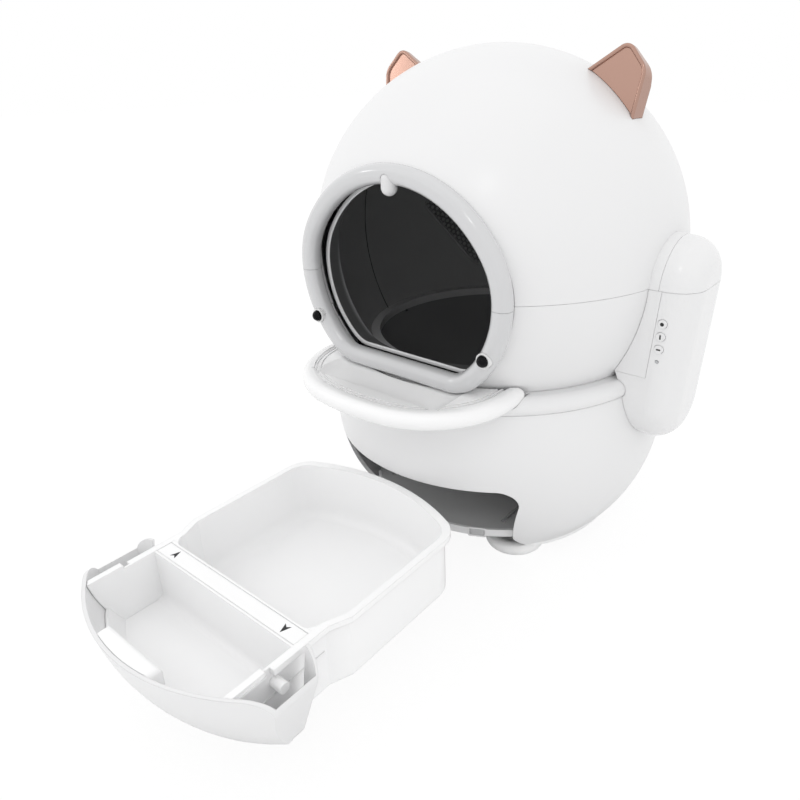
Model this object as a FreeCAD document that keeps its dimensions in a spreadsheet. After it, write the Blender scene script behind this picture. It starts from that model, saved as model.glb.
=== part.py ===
import FreeCAD, Part
import math
import os
import Sketcher
from FreeCAD import Placement, Rotation, Vector

# A self-cleaning litter box: a ball-shaped housing on a smaller bowl, with a drum that turns inside it
# and a waste drawer that slides into the bowl. The ball's axis stands at x = 0, the front faces -Y.
# The drawer is drawn out in front, so the frame's origin lies under the middle of the whole outline.

SIZES = {
    # ball and bowl
    "dome_radius": 260.0,
    "dome_centre": 420.0,
    "shell_wall": 4.0,
    "shell_seam": 404.0,
    "seam_gap": 0.3,
    "bowl_radius": 247.8,
    "bowl_centre": 189.5,
    "bowl_wall": 4.5,
    "bowl_bottom": 22.0,
    "belt_bottom": 256.8,
    "belt_top": 279.0,
    "belt_round": 13.0,
    "belt_core_wall": 9.0,
    "belt_core_stand": 3.5,
    # entrance outline and its ring
    "ring_reach": 222.5,
    "ring_centre": 409.0,
    "ring_tilt": -1.0,
    "ring_half_width": 165.2,
    "ring_rise": 142.4,
    "ring_drop": 125.5,
    "ring_shoulder": 114.0,
    "ring_flank": 147.0,
    "ring_corner": 58.0,
    "ring_width": 24.3,
    "ring_front": 12.15,
    "ring_back": 12.15,
    "ring_collar": 4.0,
    "collar_inset": 7.7,
    "ring_gap": 0.4,
    "nub_radius": 9.5,
    "nub_height": 524.0,
    "sensor_height": 343.0,
    "sensor_radius": 7.3,
    "bezel_radius": 9.5,
    "bezel_length": 17.5,
    # step in front of the entrance
    "step_half_width": 153.8,
    "step_front": 323.6,
    "step_front_bend": 330.0,
    "step_corner": 122.0,
    "step_bottom": 266.7,
    "step_top": 290.0,
    "step_round": 11.3,
    "step_recess": 1.6,
    "recess_inset": 16.0,
    "groove_width": 2.8,
    "corbel_inset": 12.0,
    "corbel_draw": 70.0,
    "corbel_height": 34.0,
    # ears
    "ear_thickness": 26.0,
    "ear_lean": 12.0,
    "ear_rim": 5.0,
    "ear_stud": 4.0,
    "ear_seat_gap": 0.3,
    # side pods
    "pod_stand": 51.0,
    "pod_forward": 3.0,
    "pod_length": 116.0,
    "pod_bottom": 188.0,
    "pod_top": 458.0,
    "pod_round": 36.0,
    "pod_lean": 4.5,
    "fairing_stand": 12.0,
    "pod_gap": 0.4,
    "neck_bottom": 290.5,
    "neck_depth": 9.0,
    "neck_low_stand": -1.2,
    "neck_high_stand": 8.8,
    "button_radius": 5.6,
    "button_stand": 13.5,
    "button_depth": 9.6,
    "button_top": 364.6,
    "button_pitch": 16.4,
    "button_travel": 1.2,
    "button_fit": 0.3,
    "lamp_radius": 2.0,
    # drum
    "drum_inset": 26.0,
    "drum_wall": 3.5,
    "drum_face": 200.0,
    "drum_split": 45.0,
    "mouth_inset": 22.0,
    "mouth_wall": 3.0,
    "mouth_length": 80.0,
    "trim_width": 3.0,
    "trim_depth": 1.5,
    "track_width": 12.0,
    "front_track_place": 70.0,
    "front_track_inset": 3.0,
    "rear_track_place": 30.0,
    "rear_track_stand": 5.0,
    "gear_place": 58.0,
    "gear_stand": 6.0,
    "pinion_teeth": 10.0,
    "tooth_module": 4.0,
    "gear_play": 0.5,
    "pinion_bearing": 40.0,
    "port_half_width": 65.0,
    "port_front": 38.0,
    "port_back": 12.0,
    "gasket_width": 7.0,
    "gasket_wall": 1.6,
    "liner_wall": 3.0,
    "liner_top": 280.0,
    "ledge_height": 12.0,
    "ledge_width": 9.0,
    "sieve_length": 150.0,
    "sieve_width": 86.0,
    "sieve_wall": 2.4,
    "sieve_bearing": 136.0,
    "sieve_tilt": 38.7,
    "sieve_drop": 12.0,
    # cradle, rollers and drive
    "roller_radius": 16.0,
    "roller_bearing": 36.0,
    "running_gap": 0.15,
    "axle_radius": 4.0,
    "axle_fit": 0.08,
    "fork_gap": 7.5,
    "fork_wall": 3.0,
    "motor_radius": 19.0,
    "motor_length": 60.0,
    "shaft_radius": 3.0,
    # base
    "foot_ring": 131.0,
    "foot_radius": 39.0,
    "foot_round": 9.0,
    "pad_radius": 24.0,
    "pad_height": 4.0,
    "plate_bottom": 17.0,
    # drawer bay
    "bay_bottom": 49.5,
    "bay_top": 151.0,
    "bay_bottom_half": 132.0,
    "bay_top_half": 164.0,
    "bay_corner": 22.0,
    "floor_top": 57.0,
    "floor_wall": 5.0,
    "floor_setback": 4.0,
    "sill_inner": 190.0,
    "sill_wall": 4.0,
    "sill_height": 11.0,
    "sill_turn": 42.0,
    "catch_turn": 25.7,
    "catch_width": 20.0,
    "roof_bottom": 152.0,
    "roof_wall": 3.0,
    "chute_half_width": 75.0,
    "chute_front": 56.0,
    "chute_back": 16.0,
    "chute_wall": 3.0,
    "rail_front": 115.0,
    "rail_back": 130.0,
    "rail_wall": 3.0,
    # drawer
    "drawer_out": 393.0,
    "drawer_gap": 1.5,
    "panel_wall": 3.8,
    "wing_front": 137.0,
    "wing_back": 122.0,
    "wing_slant": 17.0,
    "tray_bottom": 59.0,
    "tray_top": 144.0,
    "tray_wall": 3.0,
    "tray_half_width": 131.0,
    "tray_front_half": 121.0,
    "tray_waist_front": 92.0,
    "tray_waist_back": 68.0,
    "tray_corner": 96.0,
    "tray_back": 132.0,
    "tray_round": 30.0,
    "tub_corner": 14.0,
    "rim_width": 6.0,
    "rim_height": 7.0,
    "front_rim_rise": 4.0,
    "notch_front": 168.0,
    "notch_back": 160.0,
    "divider_front": 131.6,
    "divider_back": 107.0,
    "store_floor": 80.0,
    "curb_top": 108.0,
    "strip_wall": 1.4,
    "grip_half_width": 46.0,
    "grip_depth": 25.8,
    "grip_height": 33.0,
}

doc = FreeCAD.newDocument("litter_box")
sheet = doc.addObject("Spreadsheet::Sheet", "dims")
for row, (alias, value) in enumerate(SIZES.items(), start=1):
    sheet.set(f"A{row}", alias.replace("_", " "))
    sheet.set(f"B{row}", str(value))
    sheet.setAlias(f"B{row}", alias)
doc.recompute()

nodes = []


def size(alias):
    """Value of one cell of the sheet."""
    return float(sheet.get(alias))


def solve(formula):
    """Number that a formula over the sheet gives."""
    return float(sheet.evalExpression(formula))


# Distances that follow from the sizes

def depth_on(radius, rise, side=0.0):
    """Reach of a ball's surface at a height from its centre and a distance to the side."""
    return math.sqrt(radius ** 2 - rise ** 2 - side ** 2)


DRUM_RADIUS = size("dome_radius") - size("drum_inset")
FRONT_TRACK = DRUM_RADIUS - size("front_track_inset")
REAR_TRACK = DRUM_RADIUS + size("rear_track_stand")
GEAR_TEETH = round(2 * (DRUM_RADIUS + size("gear_stand")) / size("tooth_module"))
POD_REACH = size("dome_radius") + size("pod_stand")
POD_FRONT = -size("pod_forward") - size("pod_length") / 2
BUTTON_SIDE = size("dome_radius") + size("button_stand")

# The origin lies midway between the back of the ball and the front of the drawn-out drawer
AXIS = (size("drawer_out") + size("bowl_radius") * math.cos(math.asin(
    (size("bay_top") - size("drawer_gap") - size("bowl_centre")) / size("bowl_radius"))) - size("dome_radius")) / 2
sheet.set("A300", "axis offset")
sheet.set("B300", f"{AXIS:.3f}")
sheet.setAlias("B300", "axis_offset")
doc.recompute()

DOME_MIDDLE = Vector(0, 0, size("dome_centre"))
BOWL_MIDDLE = Vector(0, 0, size("bowl_centre"))


# Solids shared by several pieces

def block(x0, x1, y0, y1, z0, z1):
    """Straight block between two corners."""
    return Part.makeBox(x1 - x0, y1 - y0, z1 - z0, Vector(x0, y0, z0))


def ball(radius, middle):
    """Full ball."""
    return Part.makeSphere(radius, middle)


def zone(radius, wall, middle, low, high):
    """Thin ball shell between two heights."""
    slab = Part.makeCylinder(radius + 10, high - low, Vector(0, 0, low))
    return ball(radius, middle).cut(ball(radius - wall, middle)).common(slab)


def rod(radius, start, end):
    """Round rod between two points."""
    run = end - start
    return Part.makeCylinder(radius, run.Length, start, run)


def turned(points, centre):
    """Solid of revolution about the vertical line through centre, from corners given as reach and height."""
    corners = [Vector(reach, 0, height) for reach, height in points]
    face = Part.Face(Part.makePolygon(corners + corners[:1]))
    solid = face.revolve(Vector(0, 0, 0), Vector(0, 0, 1), 360)
    solid.translate(centre)
    return solid


def level_face(edges):
    """Flat face inside a closed run of edges."""
    return Part.Face(Part.Wire(Part.__sortEdges__(edges)))


def bend(middle, radius, start, end, upright):
    """Arc about middle from one angle to another, in the upright XZ plane or in the level XY plane."""
    def at(angle):
        across = radius * math.cos(angle)
        along = radius * math.sin(angle)
        return middle + (Vector(across, 0, along) if upright else Vector(across, along, 0))
    return Part.Arc(at(start), at((start + end) / 2), at(end)).toShape()


def line(start, end):
    """Straight edge."""
    return Part.LineSegment(start, end).toShape()


def mirrored(shape):
    """The same shape on the other side of the middle plane."""
    return shape.mirror(Vector(0, 0, 0), Vector(1, 0, 0))


def keep(node, shape, lift=None):
    """Add a piece whose shape was made with boolean operations; the piece is placed on the ball's axis."""
    piece = doc.addObject("Part::Feature", node)
    piece.Label = node
    if shape.ShapeType == "Compound" and len(shape.Solids) == 1:
        shape = shape.Solids[0]
    piece.Shape = shape
    piece.Placement = Placement(Vector(0, AXIS, 0), Rotation()).multiply(piece.Placement)
    nodes.append(piece)
    return piece


# Pieces made from sketches

def new_body(node, x="0", y="0", z="0", turn=None):
    """Add a body at a place given by formulas, turned about its own origin."""
    body = doc.addObject("PartDesign::Body", node)
    body.Label = node
    if turn:
        body.Placement = Placement(Vector(0, 0, 0), turn)
    body.setExpression("Placement.Base.x", x)
    body.setExpression("Placement.Base.y", f"dims.axis_offset + {y}")
    body.setExpression("Placement.Base.z", z)
    nodes.append(body)
    return body


def new_sketch(body, name, role, lift=None):
    """Add a sketch on one of the body's own origin planes, lifted along the plane's normal."""
    sketch = body.newObject("Sketcher::SketchObject", name)
    plane = next(item for item in body.Origin.OriginFeatures if item.Role == role)
    sketch.AttachmentSupport = (plane, "")
    sketch.MapMode = "FlatFace"
    if lift:
        sketch.setExpression("AttachmentOffset.Base.z", lift)
    return sketch


def pin_point(sketch, edge, end, x, y):
    """Hold one point of a sketch at two formulas."""
    for kind, formula in (("DistanceX", x), ("DistanceY", y)):
        value = solve(formula)
        if abs(value) < 1e-9:
            sketch.addConstraint(Sketcher.Constraint("PointOnObject", edge, end, -2 if kind == "DistanceX" else -1))
            continue
        number = sketch.addConstraint(Sketcher.Constraint(kind, -1, 1, edge, end, value))
        sketch.setExpression(f"Constraints[{number}]", formula)


def draw_outline(sketch, corners):
    """Closed straight outline with its corners at pairs of formulas."""
    points = [Vector(solve(x), solve(y), 0) for x, y in corners]
    first = sketch.GeometryCount
    count = len(points)
    for number in range(count):
        sketch.addGeometry(Part.LineSegment(points[number], points[(number + 1) % count]), False)
    for number in range(count):
        sketch.addConstraint(Sketcher.Constraint("Coincident", first + number, 2, first + (number + 1) % count, 1))
    for number, (x, y) in enumerate(corners):
        pin_point(sketch, first + number, 1, x, y)


def draw_circle(sketch, x, y, radius):
    """Circle with its middle and radius at formulas."""
    circle = Part.Circle(Vector(solve(x), solve(y), 0), Vector(0, 0, 1), solve(radius))
    edge = sketch.addGeometry(circle, False)
    pin_point(sketch, edge, 3, x, y)
    number = sketch.addConstraint(Sketcher.Constraint("Radius", edge, solve(radius)))
    sketch.setExpression(f"Constraints[{number}]", radius)


def pad(body, sketch, length, backwards=False):
    """Raise a sketch into a solid."""
    feature = body.newObject("PartDesign::Pad", sketch.Name + "_pad")
    feature.Profile = sketch
    feature.setExpression("Length", length)
    feature.Reversed = backwards
    sketch.Visibility = False
    doc.recompute()
    return feature


def pocket(body, sketch, length, backwards=False):
    """Cut a sketch into a solid, and make sure that it took something away."""
    before = body.Shape.Volume
    feature = body.newObject("PartDesign::Pocket", sketch.Name + "_pocket")
    feature.Profile = sketch
    feature.setExpression("Length", length)
    feature.Reversed = backwards
    doc.recompute()
    if not body.Shape.Volume < before:
        raise RuntimeError(f"{feature.Name} cuts nothing")
    return feature


def revolve(body, sketch, angle="360"):
    """Turn a sketch about its own upright axis."""
    feature = body.newObject("PartDesign::Revolution", sketch.Name + "_turn")
    feature.Profile = sketch
    feature.ReferenceAxis = (sketch, ["V_Axis"])
    feature.setExpression("Angle", angle)
    doc.recompute()
    return feature


def round_edges(body, base, radius, chosen):
    """Round those edges of the body for which chosen(edge) holds."""
    names = [f"Edge{number}" for number, edge in enumerate(base.Shape.Edges, start=1) if chosen(edge)]
    feature = body.newObject("PartDesign::Fillet", base.Name + "_round")
    feature.Base = (base, names)
    feature.setExpression("Radius", radius)
    doc.recompute()
    return feature


# Entrance outline
# A wide arch with a flat sill. All its arcs keep their middles when it is drawn in, so that rings,
# holes and the mouth of the drum run parallel.

def entrance_face(inset):
    """Face inside the entrance outline, drawn in by inset, in the plane y = 0 about the ring's middle."""
    half = size("ring_half_width")
    rise = size("ring_rise")
    drop = size("ring_drop")
    shoulder = size("ring_shoulder")
    flank = size("ring_flank")
    corner = size("ring_corner")
    crown = ((half - shoulder) ** 2 + rise ** 2 - shoulder ** 2) / (2 * (rise - shoulder))
    crown_middle = Vector(0, 0, rise - crown)
    shoulder_middle = Vector(half - shoulder, 0, 0)
    flank_middle = Vector(half - flank, 0, 0)
    corner_height = corner - drop
    corner_side = half - flank + math.sqrt((flank - corner) ** 2 - corner_height ** 2)
    corner_middle = Vector(corner_side, 0, corner_height)
    crown_turn = math.atan2(shoulder_middle.z - crown_middle.z, shoulder_middle.x - crown_middle.x)
    flank_turn = math.atan2(corner_middle.z - flank_middle.z, corner_middle.x - flank_middle.x)
    right = [
        bend(shoulder_middle, shoulder - inset, crown_turn, 0, True),
        bend(flank_middle, flank - inset, 0, flank_turn, True),
        bend(corner_middle, corner - inset, flank_turn, -math.pi / 2, True),
    ]
    sill = inset - drop
    edges = [bend(crown_middle, crown - inset, math.pi - crown_turn, crown_turn, True)]
    edges += right
    edges.append(line(Vector(corner_side, 0, sill), Vector(-corner_side, 0, sill)))
    edges += [mirrored(edge) for edge in right]
    return level_face(edges)


def entrance_prism(inset, front, back, tilted=True):
    """Entrance outline drawn through from front to back, measured from the ring's plane."""
    face = entrance_face(inset)
    face.translate(Vector(0, front, 0))
    prism = face.extrude(Vector(0, back - front, 0))
    if tilted:
        prism.rotate(Vector(0, 0, 0), Vector(1, 0, 0), -size("ring_tilt"))
    prism.translate(Vector(0, -size("ring_reach"), size("ring_centre")))
    return prism


# Step outline in plan

def step_face(inset, height):
    """Face of the step's plan outline, drawn in by inset, at a height."""
    half = size("step_half_width")
    front_bend = size("step_front_bend")
    corner = size("step_corner")
    front_middle = Vector(0, front_bend - size("step_front"), height)
    corner_side = half - corner
    reach = math.sqrt((front_bend - corner) ** 2 - corner_side ** 2)
    corner_middle = Vector(corner_side, front_middle.y - reach, height)
    turn = math.atan2(-reach, corner_side)
    right_corner = bend(corner_middle, corner - inset, turn, 0, False)
    back = Vector(half - inset, -size("drum_split"), height)
    side = line(Vector(half - inset, corner_middle.y, height), back)
    edges = [
        bend(front_middle, front_bend - inset, -math.pi - turn, turn, False),
        right_corner,
        side,
        line(back, Vector(-back.x, back.y, height)),
        mirrored(side),
        mirrored(right_corner),
    ]
    return level_face(edges)


def step_prism(inset, low, high):
    """Step outline raised between two heights."""
    return step_face(inset, low).extrude(Vector(0, 0, high - low))


# Belt

def belt_core():
    """Outside radius of the belt's core; it stands a little proud of the ball's lower edge."""
    return depth_on(size("dome_radius"), size("dome_centre") - size("belt_top")) + size("belt_core_stand")


def belt_bulge(grow):
    """Half-round moulding around the body, grown by a clearance."""
    middle = size("belt_top") - size("belt_round")
    core = belt_core() - 1
    reach = depth_on(size("bowl_radius"), size("belt_bottom") - size("bowl_centre"))
    round_radius = size("belt_round") + grow
    low = size("belt_bottom") - grow
    centre = Vector(reach - size("belt_round") * math.cos(math.asin((middle - size("belt_bottom")) / size("belt_round"))),
                    0, middle)
    low_turn = -math.asin((middle - low) / round_radius)
    edges = [
        bend(centre, round_radius, math.pi / 2, low_turn, True),
        line(Vector(centre.x + round_radius * math.cos(low_turn), 0, low), Vector(core, 0, low)),
        line(Vector(core, 0, low), Vector(core, 0, middle + round_radius)),
        line(Vector(core, 0, middle + round_radius), Vector(centre.x, 0, middle + round_radius)),
    ]
    return level_face(edges).revolve(Vector(0, 0, 0), Vector(0, 0, 1), 360)


# Front view of the drawer bay, shared by the bowl's opening and the drawer's head

def bay_prism(inset, front, back, closed=True):
    """Bay outline drawn in by inset; with closed False it stays open towards the top."""
    low = size("bay_bottom") + inset
    high = size("bay_top") - inset
    slope = (size("bay_top_half") - size("bay_bottom_half")) / (size("bay_top") - size("bay_bottom"))
    if not closed:
        high = size("bay_top") + 40
    low_half = size("bay_bottom_half") - inset * math.hypot(1, slope) + slope * inset
    high_half = low_half + slope * (high - low)
    corners = [Vector(-low_half, front, low), Vector(low_half, front, low),
               Vector(high_half, front, high), Vector(-high_half, front, high)]
    prism = Part.Face(Part.makePolygon(corners + corners[:1])).extrude(Vector(0, back - front, 0))
    if closed:
        top_edges = [edge for edge in prism.Edges if edge.BoundBox.YLength > 1 and edge.BoundBox.ZMin > high - 1]
        prism = prism.makeFillet(size("bay_corner") - inset, top_edges)
    return prism


# Housing

def housing_shells():
    """Upper and lower halves of the ball and the bowl below, with the entrance and the drawer bay cut out."""
    gap = size("seam_gap") / 2
    wall = size("shell_wall")
    seam = size("shell_seam")
    entrance = entrance_prism(size("collar_inset") - size("ring_gap"), -60, 60)
    top = size("dome_centre") + size("dome_radius") + 1
    dome = zone(size("dome_radius"), wall, DOME_MIDDLE, seam + gap, top).cut(entrance)
    for side in (1, -1):
        foot = Vector(side * ear_stud_place().x, ear_stud_place().y, seam)
        dome = dome.cut(rod(size("ear_stud") + size("ear_seat_gap"), foot, foot + Vector(0, 0, size("dome_radius"))))
    fairing = pod_block().common(ball(size("dome_radius") + size("fairing_stand"), DOME_MIDDLE))
    fairing = fairing.cut(ball(size("dome_radius") - wall / 2, DOME_MIDDLE))
    far = 2 * POD_REACH
    fairing = biggest(fairing.common(block(0, far, -far, far, seam + gap, 2 * far)))
    keep("dome_shell", biggest(dome.fuse(fairing).fuse(mirrored(fairing)).removeSplitter()))
    lower = zone(size("dome_radius"), wall, DOME_MIDDLE, size("belt_top") + gap, seam - gap).cut(entrance)
    keep("lower_shell", lower)
    bowl = zone(size("bowl_radius"), size("bowl_wall"), BOWL_MIDDLE, size("bowl_bottom"),
                size("belt_bottom") - size("seam_gap"))
    bay = bay_prism(0, -size("bowl_radius") - 20, -size("wing_back") + 20)
    half = size("bay_bottom_half")
    below = block(-half, half, -size("bowl_radius"), -floor_front(), 0, size("bay_bottom") + 1)
    keep("base_bowl", biggest(bowl.cut(bay).cut(below)))


def belt_moulding():
    """Belt between ball and bowl: a plain core all the way round, and a half-round that stops at the step."""
    outer = belt_core()
    inner = outer - size("belt_core_wall")
    low = size("belt_bottom")
    high = size("belt_top")
    core = turned([(inner, low), (outer, low), (outer, high), (inner, high)], Vector(0, 0, 0))
    bulge = belt_bulge(0).cut(step_solid(size("seam_gap")))
    keep("belt_moulding", biggest(core.fuse(bulge).removeSplitter()))


def step_solid(grow):
    """Round-nosed slab on its corbel, grown by a clearance, before the bodies behind it are cut away."""
    low = size("step_bottom") - grow
    high = size("step_top") + grow
    slab = step_prism(-grow, low, high)
    nose = [edge for edge in slab.Edges
            if edge.BoundBox.ZLength < 0.1 and edge.BoundBox.YMin < -size("drum_split") - 1]
    slab = slab.makeFillet(size("step_round"), nose)
    inset = size("corbel_inset") - grow
    foot = step_face(inset + size("corbel_draw"), low + 1 - size("corbel_height"))
    head = step_face(inset, low + 1)
    return slab.fuse(Part.makeLoft([foot.OuterWire, head.OuterWire], True, True)).removeSplitter()


def front_step():
    """Landing step below the entrance: a round-nosed slab with a ringed recess, carried by a corbel."""
    high = size("step_top")
    recess = size("step_recess")
    step = step_solid(0).cut(step_prism(size("recess_inset"), high - recess, high + 1))
    for number in range(2):
        inset = size("recess_inset") + size("groove_width") + 2 * number * size("groove_width")
        groove = step_prism(inset, high - 2 * recess, high + 1)
        step = step.cut(groove.cut(step_prism(inset + size("groove_width"), high - 3 * recess, high + 2)))
    step = step.cut(ball(size("dome_radius") + size("pod_gap"), DOME_MIDDLE))
    step = step.cut(ball(size("bowl_radius") + size("pod_gap"), BOWL_MIDDLE))
    step = step.cut(Part.makeCylinder(belt_core() + size("pod_gap"), size("belt_top") + 1))
    step = step.cut(entrance_prism(-size("ring_gap"), -60, 100))
    keep("front_step", biggest(step))


def biggest(shape):
    """The largest solid of a cut shape, without its slivers."""
    return max(shape.Solids, key=lambda solid: solid.Volume)


# Entrance ring

def nub_solid(grow):
    """Short peg with round ends, half sunk in the crown of the ring."""
    radius = size("nub_radius") + grow
    foot = Vector(0, nub_place(), size("nub_height"))
    head = foot + Vector(0, 0, size("nub_radius"))
    return rod(radius, foot, head).fuse([ball(radius, foot), ball(radius, head)])


def nub_place():
    """Reach of the peg in front of the axis: it stands a little proud of the ring."""
    rise = size("nub_height") - size("ring_centre")
    lean = rise * math.sin(math.radians(size("ring_tilt")))
    return -size("ring_reach") - size("ring_front") + lean + size("nub_radius") * 0.75


def sensor_face():
    """Front of the ring at the height of the sensors."""
    drop = size("ring_centre") - size("sensor_height")
    return -size("ring_reach") - size("ring_front") - drop * math.sin(math.radians(size("ring_tilt")))


def sensor_side():
    """Distance of a sensor from the middle plane: it sits on the middle of the ring's flank."""
    drop = size("ring_centre") - size("sensor_height")
    flank = size("ring_flank")
    return size("ring_half_width") - flank + math.sqrt((flank - size("ring_width") / 2) ** 2 - drop ** 2)


def entrance_ring():
    """Round-section ring around the entrance in two halves; a collar leads it through the hole in the ball."""
    front = -size("ring_front")
    back = size("ring_back")
    width = size("ring_width")
    band = entrance_prism(0, front, back, False).cut(entrance_prism(width, front - 1, back + 1, False))
    edges = [edge for edge in band.Edges if edge.BoundBox.YLength < 0.01]
    band = band.makeFillet(width * 0.47, edges)
    band.rotate(Vector(0, -size("ring_reach"), size("ring_centre")), Vector(1, 0, 0), -size("ring_tilt"))
    sunk = band.common(entrance_prism(size("collar_inset"), 2 * front, 2 * back))
    band = band.cut(ball(size("dome_radius") + size("ring_gap"), DOME_MIDDLE))
    collar_back = size("ring_reach") / 4
    collar = entrance_prism(size("collar_inset"), 0, collar_back)
    collar = collar.cut(entrance_prism(size("collar_inset") + size("ring_collar"), -1, collar_back + 1))
    collar = collar.cut(ball(size("dome_radius") - size("shell_wall") - 1, DOME_MIDDLE))
    ring = band.fuse([sunk, collar]).removeSplitter()
    seam = size("shell_seam")
    gap = size("seam_gap") / 2
    reach = size("dome_radius") * 1.3
    upper = ring.common(block(-reach, reach, -reach, 0, seam + gap, reach + seam))
    lower = ring.common(block(-reach, reach, -reach, 0, 0, seam - gap))
    upper = upper.cut(nub_solid(size("seam_gap")))
    for side in (1, -1):
        hole = Vector(side * sensor_side(), -reach, size("sensor_height"))
        lower = lower.cut(rod(size("bezel_radius") + gap, hole, hole + Vector(0, reach, 0)))
    keep("ring_upper", biggest(upper))
    keep("ring_lower", biggest(lower))
    keep("entrance_nub", nub_solid(0))


def sensor(side, name):
    """Presence sensor on the ring: a white bezel sleeve with a dark lens dome."""
    turn = Rotation(Vector(1, 0, 0), 90)
    place = f"{side * sensor_side():.3f}"
    front = f"{sensor_face() - 2:.3f}"
    bezel = new_body(f"sensor_bezel_{name}", place, front, "dims.sensor_height", turn)
    sleeve = new_sketch(bezel, f"bezel_{name}_ring", "XY_Plane")
    draw_circle(sleeve, "0", "0", "dims.bezel_radius")
    pad(bezel, sleeve, "dims.bezel_length", True)
    bore = new_sketch(bezel, f"bezel_{name}_bore", "XY_Plane")
    draw_circle(bore, "0", "0", "dims.sensor_radius + dims.axle_fit")
    pocket(bezel, bore, "dims.bezel_length / 2")
    lens = new_body(f"sensor_dome_{name}", place, front, "dims.sensor_height", turn)
    profile = new_sketch(lens, f"lens_{name}_profile", "XZ_Plane")
    radius = size("sensor_radius")
    arc = profile.addGeometry(Part.ArcOfCircle(Part.Circle(Vector(0, 0, 0), Vector(0, 0, 1), radius), 0, math.pi / 2),
                              False)
    back = -size("bezel_length") / 2
    corners = [Vector(0, radius, 0), Vector(0, back, 0), Vector(radius, back, 0), Vector(radius, 0, 0)]
    for start, end in zip(corners[:-1], corners[1:]):
        profile.addGeometry(Part.LineSegment(start, end), False)
    profile.addConstraint(Sketcher.Constraint("Coincident", arc, 3, -1, 1))
    for first, first_end, second, second_end in ((0, 2, 1, 1), (1, 2, 2, 1), (2, 2, 3, 1), (3, 2, 0, 1)):
        profile.addConstraint(Sketcher.Constraint("Coincident", first, first_end, second, second_end))
    pin_point(profile, 0, 1, "dims.sensor_radius", "0")
    pin_point(profile, 2, 1, "0", "-dims.bezel_length / 2")
    profile.addConstraint(Sketcher.Constraint("Horizontal", 2))
    profile.addConstraint(Sketcher.Constraint("Vertical", 3))
    profile.addConstraint(Sketcher.Constraint("Vertical", 1))
    revolve(lens, profile)


# Ears

def ear_stud_place():
    """Foot of the stud that holds an ear, in plan."""
    return Vector(size("dome_radius") * 0.638, 4, 0)


def ear_outline(inset):
    """Rounded triangle of an ear in its own upright plane, its root inside the ball; its corners are
    shares of the ball's radius, to the side and above the ball's middle."""
    radius = size("dome_radius")
    shares = ((0.43, 0.838), (0.677, 1.0), (0.781, 0.877), (0.746, 0.60))
    corners = [Vector(side * radius, 0, size("dome_centre") + rise * radius) for side, rise in shares]
    face = Part.Face(Part.makePolygon(corners + corners[:1]))
    solid = face.extrude(Vector(0, size("ear_thickness"), 0))
    for number, share in ((1, 0.05), (2, 0.085)):
        solid = solid.makeFillet(share * radius, nearest_edges(solid, corners[number]))
    if inset:
        front = min(solid.Faces, key=lambda item: item.CenterOfMass.y)
        wire = front.OuterWire.makeOffset2D(-inset)
        return Part.Face(wire)
    return solid


def nearest_edges(solid, corner):
    """Edges along Y that run through a corner."""
    return [edge for edge in solid.Edges if edge.BoundBox.YLength > 1
            and math.hypot(edge.BoundBox.Center.x - corner.x, edge.BoundBox.Center.z - corner.z) < 0.5]


def ear(side):
    """Cat-ear trim: a leaning wedge with a rounded rim, a sunk front face and a stud into the ball."""
    solid = ear_outline(0)
    thickness = size("ear_thickness")
    sunk = ear_outline(size("ear_rim")).extrude(Vector(0, size("ear_rim") * 0.6, 0))
    solid = solid.cut(sunk)
    front_edges = [edge for edge in solid.Edges if edge.BoundBox.YMax < 0.01]
    solid = solid.makeFillet(size("ear_rim") * 0.45, front_edges)
    root = size("dome_centre") + size("dome_radius") * 0.73
    solid.rotate(Vector(0, 0, root), Vector(1, 0, 0), -size("ear_lean"))
    solid.translate(Vector(0, -thickness / 2, 0))
    taper = block(0, size("dome_radius"), 0, thickness * 3, 0, size("dome_radius") * 2)
    taper.rotate(Vector(0, 0, 0), Vector(1, 0, 0), size("ear_lean") * 0.8)
    taper.translate(Vector(0, thickness * 0.75, root))
    solid = solid.cut(taper)
    solid = solid.cut(ball(size("dome_radius") + size("ear_seat_gap"), DOME_MIDDLE))
    foot = Vector(ear_stud_place().x, ear_stud_place().y,
                  size("dome_centre") + depth_on(size("dome_radius"), ear_stud_place().x) - size("shell_wall") * 2.5)
    solid = biggest(solid).fuse(rod(size("ear_stud"), foot, foot + Vector(0, 0, size("shell_wall") * 5)))
    return solid if side > 0 else mirrored(solid)


# Side pods

def pod_block():
    """Flattened upright capsule against the ball's side, leaning in towards its foot."""
    half = size("pod_length") / 2
    low = size("pod_bottom")
    high = size("pod_top")
    inner = size("dome_radius") * 0.78
    reach = POD_REACH
    edges = [
        bend(Vector(inner, 0, high - half), half, 0, math.pi, True),
        bend(Vector(inner, 0, low + half), half, math.pi, 2 * math.pi, True),
        line(Vector(inner + half, 0, low + half), Vector(inner + half, 0, high - half)),
        line(Vector(inner - half, 0, low + half), Vector(inner - half, 0, high - half)),
    ]
    face = level_face(edges)
    face.rotate(Vector(inner, 0, 0), Vector(0, 0, 1), 90)
    solid = face.extrude(Vector(reach - inner, 0, 0))
    rim = [edge for edge in solid.Edges if edge.BoundBox.XMin > reach - 0.1]
    solid = solid.makeFillet(size("pod_round"), rim)
    solid.translate(Vector(0, -size("pod_forward"), 0))
    solid.rotate(Vector(reach, 0, high - half / 2), Vector(0, 1, 0), size("pod_lean"))
    return solid


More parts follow.
